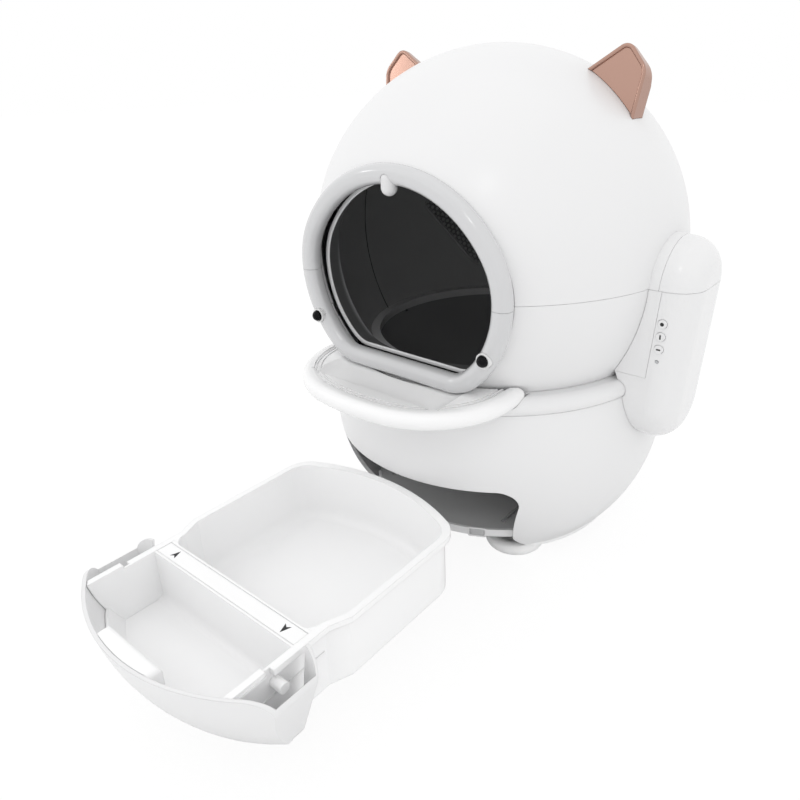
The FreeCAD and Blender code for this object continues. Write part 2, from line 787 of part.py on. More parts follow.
def pod_pieces():
    """Housing, cap and neck panel of the pod on the right-hand side."""
    gap = size("pod_gap")
    seam = size("shell_seam")
    cut = size("seam_gap") / 2
    pod = pod_block()
    cap = pod.cut(ball(size("dome_radius") + size("fairing_stand") + cut * 2, DOME_MIDDLE))
    pod = pod.cut(ball(size("dome_radius") + gap, DOME_MIDDLE))
    pod = pod.cut(ball(size("bowl_radius") + gap, BOWL_MIDDLE))
    pod = pod.cut(belt_bulge(gap))
    far = POD_REACH * 1.2
    cap = biggest(cap.common(block(0, far, -far, far, seam + cut, 2 * far)))
    housing = pod.common(block(0, far, -far, far, 0, seam - cut))
    front = POD_FRONT
    depth = size("neck_depth")
    low = size("neck_bottom")
    rise = seam - cut - low
    edge_low = size("dome_radius") + size("neck_low_stand")
    edge_high = size("dome_radius") + size("neck_high_stand")
    corners = [Vector(0, front - 5, low), Vector(edge_low, front - 5, low), Vector(edge_high, front - 5, low + rise),
               Vector(0, front - 5, low + rise)]
    wedge = Part.Face(Part.makePolygon(corners + corners[:1])).extrude(Vector(0, depth + 5, 0))
    neck = biggest(housing.common(wedge))
    edge = (corners[2] - corners[1]) * 0.05
    inner_corners = [corners[0] - Vector(0, 0, cut), corners[1] - edge * (cut / edge.z) + Vector(2 * cut, 0, 0),
                     corners[2] + edge + Vector(2 * cut, 0, 0), corners[3] + Vector(0, 0, edge.z)]
    seat = Part.Face(Part.makePolygon(inner_corners + inner_corners[:1])).extrude(Vector(0, depth + 5 + cut, 0))
    housing = biggest(housing.cut(seat))
    return housing, cap, neck


def button_place(height):
    """Distance of the button row from the middle plane at a height; the row follows the pod's lean."""
    lean = (size("button_top") - height) * math.tan(math.radians(size("pod_lean")))
    return BUTTON_SIDE - lean * 0.6


def pod_cavity():
    """Room for the control board inside the right pod, behind the buttons."""
    front = POD_FRONT + size("button_depth")
    low = size("button_top") - size("button_pitch") * 5
    high = size("shell_seam") - 8
    side = size("button_radius")
    return block(BUTTON_SIDE - side, BUTTON_SIDE + side * 1.7, front, front + size("pod_length") * 0.7, low, high)


def pods():
    """Both pods; the right one carries the buttons, the lamp and the control board."""
    housing, cap, neck = pod_pieces()
    keep("pod_cap_right", cap)
    keep("pod_cap_left", mirrored(cap))
    keep("pod_neck_right", neck)
    keep("pod_neck_left", mirrored(neck))
    keep("pod_housing_left", mirrored(housing))
    front = POD_FRONT
    housing = housing.cut(pod_cavity())
    for number in range(4):
        height = size("button_top") - number * size("button_pitch")
        radius = size("button_radius") if number < 3 else size("lamp_radius")
        start = Vector(button_place(height), front - 5, height)
        hole = rod(radius + size("button_fit"), start, start + Vector(0, 5 + size("button_depth") + 1, 0))
        housing = housing.cut(hole)
    keep("pod_housing_right", biggest(housing))
    for number, name in enumerate(("button_manual", "button_auto", "button_clean")):
        push_button(name, number)
    lamp = new_body("status_lamp", f"{button_place(size('button_top') - 3 * size('button_pitch')):.3f}",
                    f"{front - 0.2:.3f}", "dims.button_top - 3 * dims.button_pitch", Rotation(Vector(1, 0, 0), 90))
    sketch = new_sketch(lamp, "lamp_circle", "XY_Plane")
    draw_circle(sketch, "0", "0", "dims.lamp_radius")
    pad(lamp, sketch, "dims.button_depth + 1", True)
    board = new_body("control_board", "dims.dome_radius + dims.button_stand", f"{front + size('button_depth') + 3.2:.3f}",
                     "dims.button_top - 1.5 * dims.button_pitch", Rotation(Vector(1, 0, 0), 90))
    plate = new_sketch(board, "board_outline", "XY_Plane")
    draw_outline(plate, [("-dims.button_radius", "-2.2 * dims.button_pitch"),
                         ("1.5 * dims.button_radius", "-2.2 * dims.button_pitch"),
                         ("1.5 * dims.button_radius", "2 * dims.button_pitch"),
                         ("-dims.button_radius", "2 * dims.button_pitch")])
    pad(board, plate, "1.6", True)


def push_button(name, number):
    """Round key with a stem that meets the board at the end of its travel."""
    front = POD_FRONT
    height = size("button_top") - number * size("button_pitch")
    body = new_body(name, f"{button_place(height):.3f}", f"{front - 1.4:.3f}",
                    f"dims.button_top - {number} * dims.button_pitch", Rotation(Vector(1, 0, 0), 90))
    key = new_sketch(body, f"{name}_key", "XY_Plane")
    draw_circle(key, "0", "0", "dims.button_radius")
    pad(body, key, "dims.button_depth + 1", True)
    stem = new_sketch(body, f"{name}_stem", "XY_Plane", "-(dims.button_depth + 0.9)")
    draw_circle(stem, "0", "0", "dims.button_radius * 0.4")
    stem_pad = pad(body, stem, "1.6", True)
    round_edges(body, stem_pad, "0.6", lambda edge: edge.BoundBox.YMin > -0.01 - 99 and edge.BoundBox.ZLength < 0.01
                and edge.BoundBox.ZMin > -0.01 and edge.BoundBox.XLength > size("button_radius"))


# Drum

def drum_solid(shrink, face_inset):
    """Filled outside form of the drum, or of its hollow when shrunk by the wall."""
    shape = ball(DRUM_RADIUS - shrink, DOME_MIDDLE)
    front = size("ring_reach") - size("drum_face")
    neck = entrance_prism(face_inset, front, front + size("mouth_length"), False)
    reach = DRUM_RADIUS * 1.2
    shape = shape.fuse(neck)
    return shape.common(block(-reach, reach, -size("drum_face") + shrink, reach, 0, 3 * reach))


def port_prism(grow):
    """Waste port at the top of the drum."""
    half = size("port_half_width") + grow
    return block(-half, half, -size("port_front") - grow, size("port_back") + grow, size("dome_centre"),
                 size("dome_centre") + DRUM_RADIUS * 1.1)


def drum_shells():
    """The turning drum: a front shell with the mouth and a rear shell with the waste port."""
    wall = size("drum_wall")
    inset = size("mouth_inset")
    mouth = entrance_prism(inset, 0, size("mouth_length"), False)
    drum = drum_solid(0, inset - size("mouth_wall")).cut(drum_solid(wall, inset)).cut(mouth)
    split = -size("drum_split")
    gap = size("seam_gap") / 2
    reach = DRUM_RADIUS * 1.2
    keep("drum_front_shell", biggest(drum.common(block(-reach, reach, -reach, split - gap, 0, 3 * reach))))
    rear = drum.common(block(-reach, reach, split + gap, reach, 0, 3 * reach)).cut(port_prism(0))
    keep("drum_rear_shell", biggest(rear))
    trim_back = size("ring_reach") - size("drum_face")
    trim = entrance_prism(inset - size("mouth_wall"), trim_back - size("trim_depth"), trim_back, False)
    trim = trim.cut(entrance_prism(inset + size("trim_width"), trim_back - 5, trim_back + 5, False))
    keep("drum_mouth_trim", trim)
    outer = DRUM_RADIUS + size("gasket_wall")
    gasket = ball(outer, DOME_MIDDLE).cut(ball(DRUM_RADIUS, DOME_MIDDLE))
    gasket = gasket.common(port_prism(size("gasket_width"))).cut(port_prism(0))
    keep("port_gasket", gasket)


def drum_band(node, place, sign, radius):
    """Running track around the drum; its inside follows the ball."""
    body = new_body(node, z="dims.dome_centre", turn=Rotation(Vector(1, 0, 0), -90 if sign > 0 else 90))
    sketch = new_sketch(body, f"{node}_profile", "XZ_Plane")
    ball_text = "(dims.dome_radius - dims.drum_inset + dims.seam_gap)"
    near = f"(dims.{place} - dims.track_width / 2)"
    far = f"(dims.{place} + dims.track_width / 2)"
    draw_outline(sketch, [(f"sqrt({ball_text}^2 - {near}^2)", near), (radius, near), (radius, far),
                          (f"sqrt({ball_text}^2 - {far}^2)", far)])
    revolve(body, sketch)


def gear_face(teeth, hole, phase):
    """Toothed wheel outline about the origin: straight flanks between a root and a tip circle."""
    module = size("tooth_module")
    pitch = module * teeth / 2
    slope = math.tan(math.radians(20))
    thick = (math.pi * module - size("gear_play") * 2) / 4
    tip = 0.8 * module
    ring = []
    for number in range(int(teeth)):
        middle = 2 * math.pi * number / teeth + phase
        for rise, side in ((-module, -1), (tip, -1), (tip, 1), (-module, 1)):
            angle = middle + side * (thick - rise * slope) / pitch
            ring.append(Vector((pitch + rise) * math.cos(angle), (pitch + rise) * math.sin(angle), 0))
    face = Part.Face(Part.makePolygon(ring + ring[:1]))
    return face.cut(Part.Face(Part.Wire(Part.makeCircle(hole)))), pitch


def along_machine(face, start, length, middle):
    """Raise a level face along +Y from a start place, about a middle given as side and height."""
    solid = face.extrude(Vector(0, 0, length))
    solid.rotate(Vector(0, 0, 0), Vector(1, 0, 0), -90)
    solid.translate(Vector(middle.x, start, middle.z))
    return solid


def gears():
    """Toothed ring around the drum and the pinion that drives it."""
    width = size("track_width")
    start = size("gear_place") - width / 2
    bearing = math.radians(size("pinion_bearing"))
    inner = depth_on(DRUM_RADIUS + size("seam_gap"), start)
    # in the turned face the angle runs from +X towards -Z, so the pinion lies at 90 degrees less its bearing
    toward = math.pi / 2 - bearing
    ring_pitch = 2 * math.pi / GEAR_TEETH
    ring_phase = toward - ring_pitch * math.floor(toward / ring_pitch) + ring_pitch / 2
    ring, pitch = gear_face(GEAR_TEETH, inner, ring_phase)
    keep("drum_ring_gear", along_machine(ring, start, width, DOME_MIDDLE))
    pinion, small = gear_face(size("pinion_teeth"), size("shaft_radius") + size("axle_fit"), toward + math.pi)
    middle = drive_middle(pitch + small)
    keep("drive_pinion", along_machine(pinion, start - 1, width + 2, middle))
    shaft = rod(size("shaft_radius"), Vector(middle.x, start - 3, middle.z),
                Vector(middle.x, start + width + 22, middle.z))
    keep("pinion_shaft", shaft)


def drive_middle(distance):
    """Middle of the pinion, to the right of the drum's lowest point."""
    bearing = math.radians(size("pinion_bearing"))
    return Vector(distance * math.sin(bearing), 0, size("dome_centre") - distance * math.cos(bearing))


def gear_distance():
    """Distance from the drum's axis to the pinion's."""
    return size("tooth_module") * (GEAR_TEETH + size("pinion_teeth")) / 2


def drive():
    """Gear motor behind the pinion and the bracket that carries it on the bay roof."""
    middle = drive_middle(gear_distance())
    face = size("gear_place") + size("track_width") / 2 + 8
    wall = size("fork_wall")
    motor = rod(size("motor_radius"), Vector(middle.x, face + wall, middle.z),
                Vector(middle.x, face + wall + size("motor_length"), middle.z))
    bore = rod(size("shaft_radius") + size("axle_fit"), Vector(middle.x, face - 3, middle.z),
               Vector(middle.x, face + wall + 12, middle.z))
    boss = rod(size("motor_radius") * 0.4, Vector(middle.x, face - 2, middle.z),
               Vector(middle.x, face + wall + 1, middle.z))
    motor = motor.makeFillet(2.5, [edge for edge in motor.Edges if edge.BoundBox.YLength < 0.1])
    keep("gear_motor", motor.fuse(boss).cut(bore))
    low = size("roof_bottom") + size("roof_wall")
    half = size("motor_radius") + 3
    plate = block(middle.x - half, middle.x + half, face, face + wall, low, middle.z)
    plate = plate.fuse(rod(half, Vector(middle.x, face, middle.z), Vector(middle.x, face + wall, middle.z)))
    foot = block(middle.x - half, middle.x + half, face, face + 22, low, low + wall)
    plate = plate.fuse(foot).cut(rod(size("motor_radius") * 0.4 + 0.1, Vector(middle.x, face - 1, middle.z),
                                     Vector(middle.x, face + wall + 1, middle.z)))
    keep("motor_bracket", plate.removeSplitter())


def drum_lining():
    """Litter liner in the drum's bowl, the ledge around its rim, and the sieve panel."""
    inside = DRUM_RADIUS - size("drum_wall") - size("seam_gap")
    wall = size("liner_wall")
    low = size("dome_centre") - DRUM_RADIUS
    liner = ball(inside, DOME_MIDDLE).cut(ball(inside - wall, DOME_MIDDLE))
    reach = DRUM_RADIUS
    liner = liner.common(block(-reach, reach, -size("drum_face") + 6, reach, low, size("liner_top")))
    keep("litter_liner", biggest(liner))
    top = size("liner_top") + size("ledge_height")
    ledge = ball(inside, DOME_MIDDLE).common(Part.makeCylinder(reach, size("ledge_height") - 0.3,
                                                               Vector(0, 0, size("liner_top") + 0.3)))
    hole = depth_on(inside, size("dome_centre") - top) - size("ledge_width") - 4
    ledge = ledge.cut(Part.makeCylinder(hole, 3 * reach, Vector(0, 0, 0)))
    keep("litter_ledge", biggest(ledge))
    sieve = ball(inside, DOME_MIDDLE).cut(ball(inside - size("sieve_wall"), DOME_MIDDLE))
    half = size("sieve_width") / 2
    long_half = size("sieve_length") / 2
    window = block(inside * 0.7, inside * 1.2, -half, half, -long_half, long_half)
    window.rotate(Vector(0, 0, 0), Vector(1, 0, 0), -size("sieve_tilt"))
    window.rotate(Vector(0, 0, 0), Vector(0, 0, 1), size("sieve_bearing"))
    window.translate(DOME_MIDDLE - Vector(0, 0, size("sieve_drop")))
    keep("sieve_grille", biggest(sieve.common(window)))


# Cradle and rollers

def roller_middle(track, side, place):
    """Middle of a roller under one of the drum's tracks."""
    distance = track + size("roller_radius") + size("running_gap")
    bearing = math.radians(size("roller_bearing"))
    return Vector(side * distance * math.sin(bearing), place, size("dome_centre") - distance * math.cos(bearing))


def cradle(node, track, place):
    """Cradle that carries two rollers: twin crescent plates on a foot strip on the bay roof."""
    low = size("roof_bottom") + size("roof_wall")
    right = roller_middle(track, 1, place)
    half = right.x + size("roller_radius") * 0.9
    gap = size("fork_gap")
    wall = size("fork_wall")
    outer = gap + wall
    plates = block(-half, half, place - outer, place - gap, low, right.z + 9)
    plates = plates.fuse(block(-half, half, place + gap, place + outer, low, right.z + 9))
    drum = Part.makeCylinder(track + 4, 100, Vector(0, place - 50, size("dome_centre")), Vector(0, 1, 0))
    plates = plates.cut(drum)
    strip = block(-half, half, place - outer, place + outer, low, low + wall)
    shape = plates.fuse(strip)
    for side in (1, -1):
        middle = roller_middle(track, side, place)
        shape = shape.cut(rod(size("axle_radius") + size("axle_fit"), middle - Vector(0, outer + 1, 0),
                              middle + Vector(0, outer + 1, 0)))
    keep(node, shape.removeSplitter())


def rollers():
    """Four rollers on fixed axles, two under each track."""
    axles = []
    outer = size("fork_gap") + size("fork_wall")
    for end, track, place in (("front", FRONT_TRACK, -size("front_track_place")),
                              ("rear", REAR_TRACK, size("rear_track_place"))):
        for name, side in (("right", 1), ("left", -1)):
            middle = roller_middle(track, side, place)
            half = size("track_width") / 2
            body = new_body(f"roller_{end}_{name}", f"{middle.x:.4f}", f"{middle.y - half:.4f}", f"{middle.z:.4f}",
                            Rotation(Vector(1, 0, 0), -90))
            profile = new_sketch(body, f"roller_{end}_{name}_profile", "XZ_Plane")
            bore = "dims.axle_radius + dims.axle_fit"
            draw_outline(profile, [(bore, "0"), ("dims.roller_radius - 1", "0"),
                                   ("dims.roller_radius", "1"), ("dims.roller_radius", "dims.track_width - 1"),
                                   ("dims.roller_radius - 1", "dims.track_width"), (bore, "dims.track_width")])
            revolve(body, profile)
            axles.append(rod(size("axle_radius"), middle - Vector(0, outer, 0), middle + Vector(0, outer, 0)))
    keep("roller_axles", Part.makeCompound(axles))


# Base

def base_plate():
    """Floor of the machine with four moulded feet."""
    body = new_body("base_plate", z="dims.plate_bottom")
    disc = new_sketch(body, "plate_disc", "XY_Plane")
    draw_circle(disc, "0", "0", "sqrt(dims.bowl_radius^2 - (dims.bowl_centre - dims.bowl_bottom)^2) - 0.6")
    pad(body, disc, "dims.bowl_bottom - dims.plate_bottom - dims.seam_gap")
    front = new_sketch(body, "plate_front", "XY_Plane")
    half = "dims.bay_bottom_half"
    setback = "dims.floor_setback - dims.wing_back"
    draw_outline(front, [(f"-{half}", "-dims.bowl_radius"), (half, "-dims.bowl_radius"), (half, setback),
                         (f"-{half}", setback)])
    pocket(body, front, "dims.bowl_bottom", True)
    foot = new_sketch(body, "foot_circle", "XY_Plane")
    draw_circle(foot, "dims.foot_ring * cos(45)", "-dims.foot_ring * sin(45)", "dims.foot_radius")
    lump = pad(body, foot, "dims.plate_bottom - dims.pad_height", True)
    pattern = body.newObject("PartDesign::PolarPattern", "four_feet")
    pattern.Originals = [lump]
    pattern.Axis = (next(item for item in body.Origin.OriginFeatures if item.Role == "Z_Axis"), [""])
    pattern.Angle = 360
    pattern.Occurrences = 4
    body.Tip = pattern
    doc.recompute()
    low = size("pad_height") - size("plate_bottom")
    round_edges(body, pattern, "dims.foot_round", lambda edge: edge.BoundBox.ZMax < low + 0.01)


def foot_pads():
    """Four rubber discs under the feet."""
    pads = []
    for number in range(4):
        angle = math.radians(45 + 90 * number)
        foot = Vector(size("foot_ring") * math.cos(angle), size("foot_ring") * math.sin(angle), 0)
        pads.append(Part.makeCylinder(size("pad_radius"), size("pad_height"), foot))
    keep("foot_pads", Part.makeCompound(pads))


def floor_front():
    """Distance in front of the axis at which the bay floor and everything below it stops."""
    return size("wing_back") - size("floor_setback")


def bay_floor():
    """Floor of the drawer bay, drawn back behind the opening, with two long slots."""
    top = size("floor_top")
    wall = size("floor_wall")
    reach = depth_on(size("bowl_radius") - size("bowl_wall"), size("bowl_centre") - (top - wall)) - size("seam_gap")
    disc = Part.makeCylinder(reach, wall, Vector(0, 0, top - wall))
    inner = size("sill_inner")
    front = floor_front()
    edge = Part.makeCylinder(reach + 5, wall + 2, Vector(0, 0, top - wall - 1)).cut(
        Part.makeCylinder(inner, wall + 2, Vector(0, 0, top - wall - 1)))
    disc = disc.cut(edge.common(block(-reach - 9, reach + 9, -reach - 9, -front, top - wall - 2, top + 2)))
    slot_side = size("tray_front_half") - 17
    for side in (1, -1):
        disc = disc.cut(block(side * slot_side - 3, side * slot_side + 3, -140, -60, top - wall - 1, top + 1))
    keep("bay_floor", disc)


def sill_lip():
    """Lip that turns down in front of the bay floor, with two recesses for the drawer's catches."""
    inner = size("sill_inner") + size("seam_gap")
    outer = size("sill_inner") + size("sill_wall")
    low = size("floor_top") - size("sill_height")
    lip = Part.makeCylinder(outer, size("sill_height"), Vector(0, 0, low))
    lip = lip.cut(Part.makeCylinder(inner, size("sill_height"), Vector(0, 0, low)))
    turn = math.radians(size("sill_turn"))
    corner = Vector(2 * outer * math.sin(turn), -2 * outer * math.cos(turn), low)
    sector = [Vector(0, 0, low), corner, Vector(-corner.x, corner.y, low)]
    lip = lip.common(Part.Face(Part.makePolygon(sector + sector[:1])).extrude(Vector(0, 0, size("sill_height"))))
    half = size("catch_width") / 2
    for side in (1, -1):
        recess = block(-half, half, -2 * outer, -outer + size("sill_wall") / 2, low + 2, low + size("sill_height") - 2)
        recess.rotate(Vector(0, 0, 0), Vector(0, 0, 1), side * size("catch_turn"))
        lip = lip.cut(recess)
    keep("sill_lip", biggest(lip))


def bay_roof():
    """Deck over the drawer bay with the chute's hole."""
    body = new_body("bay_roof", z="dims.roof_bottom")
    disc = new_sketch(body, "roof_disc", "XY_Plane")
    draw_circle(disc, "0", "0",
                "sqrt((dims.bowl_radius - dims.bowl_wall)^2 - (dims.bowl_centre - dims.roof_bottom)^2) - dims.seam_gap")
    pad(body, disc, "dims.roof_wall")
    hole = new_sketch(body, "roof_hole", "XY_Plane")
    side = "dims.chute_half_width + dims.seam_gap"
    front = "-dims.chute_front - dims.seam_gap"
    back = "dims.chute_back + dims.seam_gap"
    draw_outline(hole, [(f"-({side})", front), (side, front), (side, back), (f"-({side})", back)])
    pocket(body, hole, "dims.roof_wall", True)


def waste_chute():
    """Chute from the drum's port down to the drawer; its mouth follows the drum."""
    half = size("chute_half_width")
    front = -size("chute_front")
    back = size("chute_back")
    wall = size("chute_wall")
    low = size("roof_bottom")
    deck = low + size("roof_wall")
    high = size("dome_centre") - DRUM_RADIUS * 0.8
    tube = block(-half, half, front, back, low, high)
    flange = block(-half - 8, half + 8, front - 2, back + 2, deck + 0.01, deck + 2.5)
    tube = tube.fuse(flange)
    tube = tube.cut(block(-half + wall, half - wall, front + wall, back - wall, low - 1, high + 1))
    tube = tube.cut(ball(DRUM_RADIUS + 2.5, DOME_MIDDLE))
    keep("waste_chute", biggest(tube))


def bay_rail(name, side):
    """Angle rail that carries the rim of the tray on one side of the bay."""
    body = new_body(f"bay_rail_{name}", y="0")
    profile = new_sketch(body, f"rail_{name}_profile", "XZ_Plane", "dims.rail_front")
    inner = "(dims.tray_half_width + dims.drawer_gap)"
    plate = "(dims.tray_half_width + dims.rim_width + dims.drawer_gap)"
    outer = f"({plate} + dims.rail_wall)"
    high = "(dims.tray_top - dims.rim_height - 0.5)"
    low = "dims.floor_top"
    corners = [(plate, low), (outer, low), (outer, high), (inner, high), (inner, f"({high} - dims.rail_wall)"),
               (plate, f"({high} - dims.rail_wall)")]
    if side < 0:
        corners = [(f"-{x}", z) for x, z in reversed(corners)]
    draw_outline(profile, corners)
    pad(body, profile, "dims.rail_front + dims.rail_back", True)


def power_inlet():
    """Round power socket low on the back of the bowl."""
    height = size("floor_top") + 40
    reach = depth_on(size("bowl_radius"), height - size("bowl_centre"))
    body = new_body("power_inlet", "0", f"{reach + 0.8:.3f}", f"{height:.3f}", Rotation(Vector(1, 0, 0), -90))
    barrel = new_sketch(body, "inlet_barrel", "XY_Plane")
    draw_circle(barrel, "0", "0", "7")
    pad(body, barrel, "dims.bowl_wall + 14", True)
    bore = new_sketch(body, "inlet_bore", "XY_Plane")
    draw_circle(bore, "0", "0", "3.2")
    pocket(body, bore, "dims.bowl_wall + 6")
    return Vector(0, reach, height)


# Drawer, modelled pushed in and then drawn out along -Y

def drawn_out(shape):
    """Move a piece of the drawer from its place in the bay to its place in front."""
    shape.translate(Vector(0, -size("drawer_out"), 0))
    return shape


def tray_outline(inset, height, front):
    """Plan of the tray: narrow in front, wide behind a slanted waist, with a bowed back."""
    side = size("tray_half_width") - inset
    narrow = size("tray_front_half") - inset
    back = size("tray_back") - inset
    corner = size("tray_corner") - inset
    right = [Vector(narrow, front, height), Vector(narrow, -size("tray_waist_front"), height),
             Vector(side, -size("tray_waist_back"), height), Vector(side, corner, height)]
    edges = [line(start, end) for start, end in zip(right[:-1], right[1:])]
    edges += [mirrored(edge) for edge in edges]
    edges.append(Part.Arc(right[-1], Vector(0, back, height), Vector(-side, corner, height)).toShape())
    edges.append(line(Vector(-narrow, front, height), right[0]))
    return level_face(edges)


def tray_prism(inset, low, high, front, corner_round):
    """Tray outline raised between two heights with rounded rear corners."""
    solid = tray_outline(inset, low, front).extrude(Vector(0, 0, high - low))
    corner = size("tray_corner") - inset
    upright = [edge for edge in solid.Edges
               if edge.BoundBox.ZLength > 1 and abs(edge.BoundBox.YMin - corner) < 0.1]
    return solid.makeFillet(corner_round, upright)


def drawer_tray():
    """Waste tray: deep rear tub, shallow front store, rolled rim, notches and runner pegs."""
    low = size("tray_bottom")
    high = size("tray_top")
    wall = size("tray_wall")
    front = -size("bowl_radius")
    rise = size("front_rim_rise")
    corner = size("tray_round")
    body = tray_prism(0, low, high, front, corner)
    feet = [edge for edge in body.Edges if edge.BoundBox.ZMax < low + 0.01 and edge.BoundBox.YMax > front + 1]
    body = body.makeFillet(8.0, feet)
    rim = tray_prism(-size("rim_width"), high - size("rim_height"), high, front, corner + size("rim_width"))
    body = body.fuse(rim)
    far = size("tray_half_width") * 1.3
    notch_front = -size("notch_front")
    notch_back = -size("notch_back")
    front_side = size("tray_front_half")
    for side in (1, -1):
        span = sorted((side * (front_side - wall), side * (front_side + size("rim_width") - 1)))
        raised = block(span[0], span[1], front, notch_front, high - wall, high + rise)
        body = body.fuse(raised)
        span = sorted((side * front_side, side * far))
        body = body.cut(block(span[0], span[1], notch_front, notch_back, high - size("rim_height") - 1, high + rise + 1))
        body = body.cut(block(span[0], span[1], front, notch_front, high - size("rim_height") - 1, high - wall))
        peg = Vector(side * (front_side - 1), notch_back + 3, high - 18)
        body = body.fuse(rod(6.0, peg, peg + Vector(side * 17, 0, 0)))
        span = sorted((side * (front_side - 1), side * (front_side + 1.2)))
        body = body.fuse(block(span[0], span[1], front + 12, -size("tray_waist_front") - 4, high - 34, high - 32))
    tub = tub_prism(wall, low + wall, high + 5)
    store_front = front - 5
    store = block(-front_side + wall, front_side - wall, store_front, -size("divider_front"), size("store_floor"),
                  high + rise + 5)
    store = store.makeFillet(9.0, [edge for edge in store.Edges
                                   if edge.BoundBox.ZMax < size("store_floor") + 0.1 and edge.BoundBox.YLength < 1
                                   and edge.BoundBox.YMin > store_front + 1])
    curb = ball(size("bowl_radius") - size("panel_wall") - size("seam_gap") * 2 - wall, BOWL_MIDDLE)
    curb = curb.fuse(block(-far, far, front, 0, size("curb_top"), high + rise + 5))
    body = body.cut(tub).cut(store.common(curb))
    body = body.cut(block(-front_side + wall, front_side - wall, store_front, -size("divider_front") + wall,
                          low - 1, size("store_floor") - wall))
    body = body.cut(block(-front_side + wall * 2, front_side - wall * 2, -size("divider_front") + wall - 1,
                          -size("divider_back") - wall, low - 1, high - size("strip_wall") - wall))
    strip_seat = block(-front_side + wall, front_side - wall, -size("divider_front") + wall,
                       -size("divider_back") - wall, high - size("strip_wall") - 0.4, high + rise + 5)
    body = body.cut(strip_seat)
    top_level = block(-front_side + wall, front_side - wall, -size("divider_front") - 1,
                      -size("divider_back") + 1, high - 0.2, high + rise + 5)
    body = body.cut(top_level)
    body = body.common(ball(size("bowl_radius") - size("panel_wall") - size("seam_gap") * 2, BOWL_MIDDLE))
    keep("drawer_tray", drawn_out(biggest(body)))
    strip = block(-front_side + wall + 0.3, front_side - wall - 0.3, -size("divider_front") + wall + 0.3,
                  -size("divider_back") - wall - 0.3, high - size("strip_wall") - 0.4, high - 0.4)
    keep("divider_strip", drawn_out(strip))


def tub_prism(wall, low, high):
    """Hollow of the rear tub with wide rounded corners and a rounded floor."""
    side = size("tray_half_width") - wall
    back = size("tray_back") - wall
    corner = size("tray_corner") - wall
    front = -size("divider_back")
    waist = Vector(size("tray_front_half") - wall, -size("tray_waist_front"), low)
    right = [Vector(waist.x, front, low), waist, Vector(side, -size("tray_waist_back"), low), Vector(side, corner, low)]
    edges = [line(start, end) for start, end in zip(right[:-1], right[1:])]
    edges += [mirrored(edge) for edge in edges]
    edges.append(Part.Arc(right[-1], Vector(0, back, low), Vector(-side, corner, low)).toShape())
    edges.append(line(Vector(-waist.x, front, low), right[0]))
    solid = level_face(edges).extrude(Vector(0, 0, high - low))
    upright = [edge for edge in solid.Edges if edge.BoundBox.ZLength > 1 and abs(edge.BoundBox.YMin - corner) < 0.1]
    solid = solid.makeFillet(size("tray_round") - wall, upright)
    upright = [edge for edge in solid.Edges if edge.BoundBox.ZLength > 1 and abs(edge.BoundBox.YMin - front) < 0.1
               and edge.BoundBox.YLength < 0.1 and edge.BoundBox.XLength < 0.1]
    solid = solid.makeFillet(size("tub_corner"), upright)
    floor = [edge for edge in solid.Edges if edge.BoundBox.ZMax < low + 0.01]
    return solid.makeFillet(size("tray_round") / 2, floor)


def head_plan(inset):
    """Room of the drawer's head behind its bowed front; the wings at the back slant forward going down."""
    wide = size("bay_top_half") + 20
    front = -size("bowl_radius") - 20
    narrow = size("tray_half_width") + 1
    corners = [Vector(-wide, front, 0), Vector(wide, front, 0), Vector(wide, -size("wing_front") - inset, 0),
               Vector(narrow, -size("wing_back") - inset, 0), Vector(-narrow, -size("wing_back") - inset, 0),
               Vector(-wide, -size("wing_front") - inset, 0)]
    high = size("bay_top") + 60
    slope = size("wing_slant") / (size("bay_top") - size("bay_bottom"))
    face = Part.Face(Part.makePolygon(corners + corners[:1]))
    face.translate(Vector(0, -slope * size("bay_top"), 0))
    return face.extrude(Vector(0, slope * high, high))


def drawer_head():
    """Drawer front: a slice of the bowl's own surface with end walls, wings and open side pockets."""
    gap = size("drawer_gap")
    wall = size("panel_wall")
    front = -size("bowl_radius") - 15
    floor_low = size("tray_bottom")
    outer = bay_prism(gap, front, -size("wing_back") + 5).common(ball(size("bowl_radius"), BOWL_MIDDLE))
    outer = outer.common(head_plan(0))
    hollow = bay_prism(gap + size("tray_wall"), front, -size("wing_back") + 5, False)
    hollow = hollow.common(ball(size("bowl_radius") - wall, BOWL_MIDDLE)).common(head_plan(size("tray_wall")))
    reach = size("bowl_radius")
    upper = hollow.common(block(-reach, reach, -reach, 0, floor_low + size("tray_wall"), 2 * reach))
    skirt = block(-reach, reach, -reach, 0, 0, floor_low).common(ball(size("bowl_radius") - wall, BOWL_MIDDLE))
    side_inset = bay_prism(gap + size("tray_wall"), front, 0, False)
    side_inset = side_inset.fuse(block(-size("bay_bottom_half") + gap + size("tray_wall"),
                                       size("bay_bottom_half") - gap - size("tray_wall"), front, 0, 0,
                                       size("bay_bottom") + gap + size("tray_wall") + 1))
    skirt = skirt.common(side_inset)
    head = outer.cut(upper).cut(skirt)
    inner = ball(size("bowl_radius") - wall, BOWL_MIDDLE)
    half = size("tray_half_width") + 0.5
    head = head.cut(inner.common(block(-half, half, -reach, 0, 0, 2 * reach)))
    keep("drawer_panel", drawn_out(biggest(head)))
    grip_side = size("grip_half_width")
    high = size("bay_top") - gap
    grip = block(-grip_side, grip_side, -reach, -reach + size("grip_depth"), high - size("grip_height"), high)
    grip = grip.makeFillet(6.0, [edge for edge in grip.Edges if edge.BoundBox.ZLength < 0.1
                                 and edge.BoundBox.ZMin > high - 1 and edge.BoundBox.YMax > -reach + size("grip_depth") - 1])
    grip = grip.common(ball(size("bowl_radius") - wall - size("seam_gap"), BOWL_MIDDLE))
    keep("grip_tab", drawn_out(biggest(grip)))


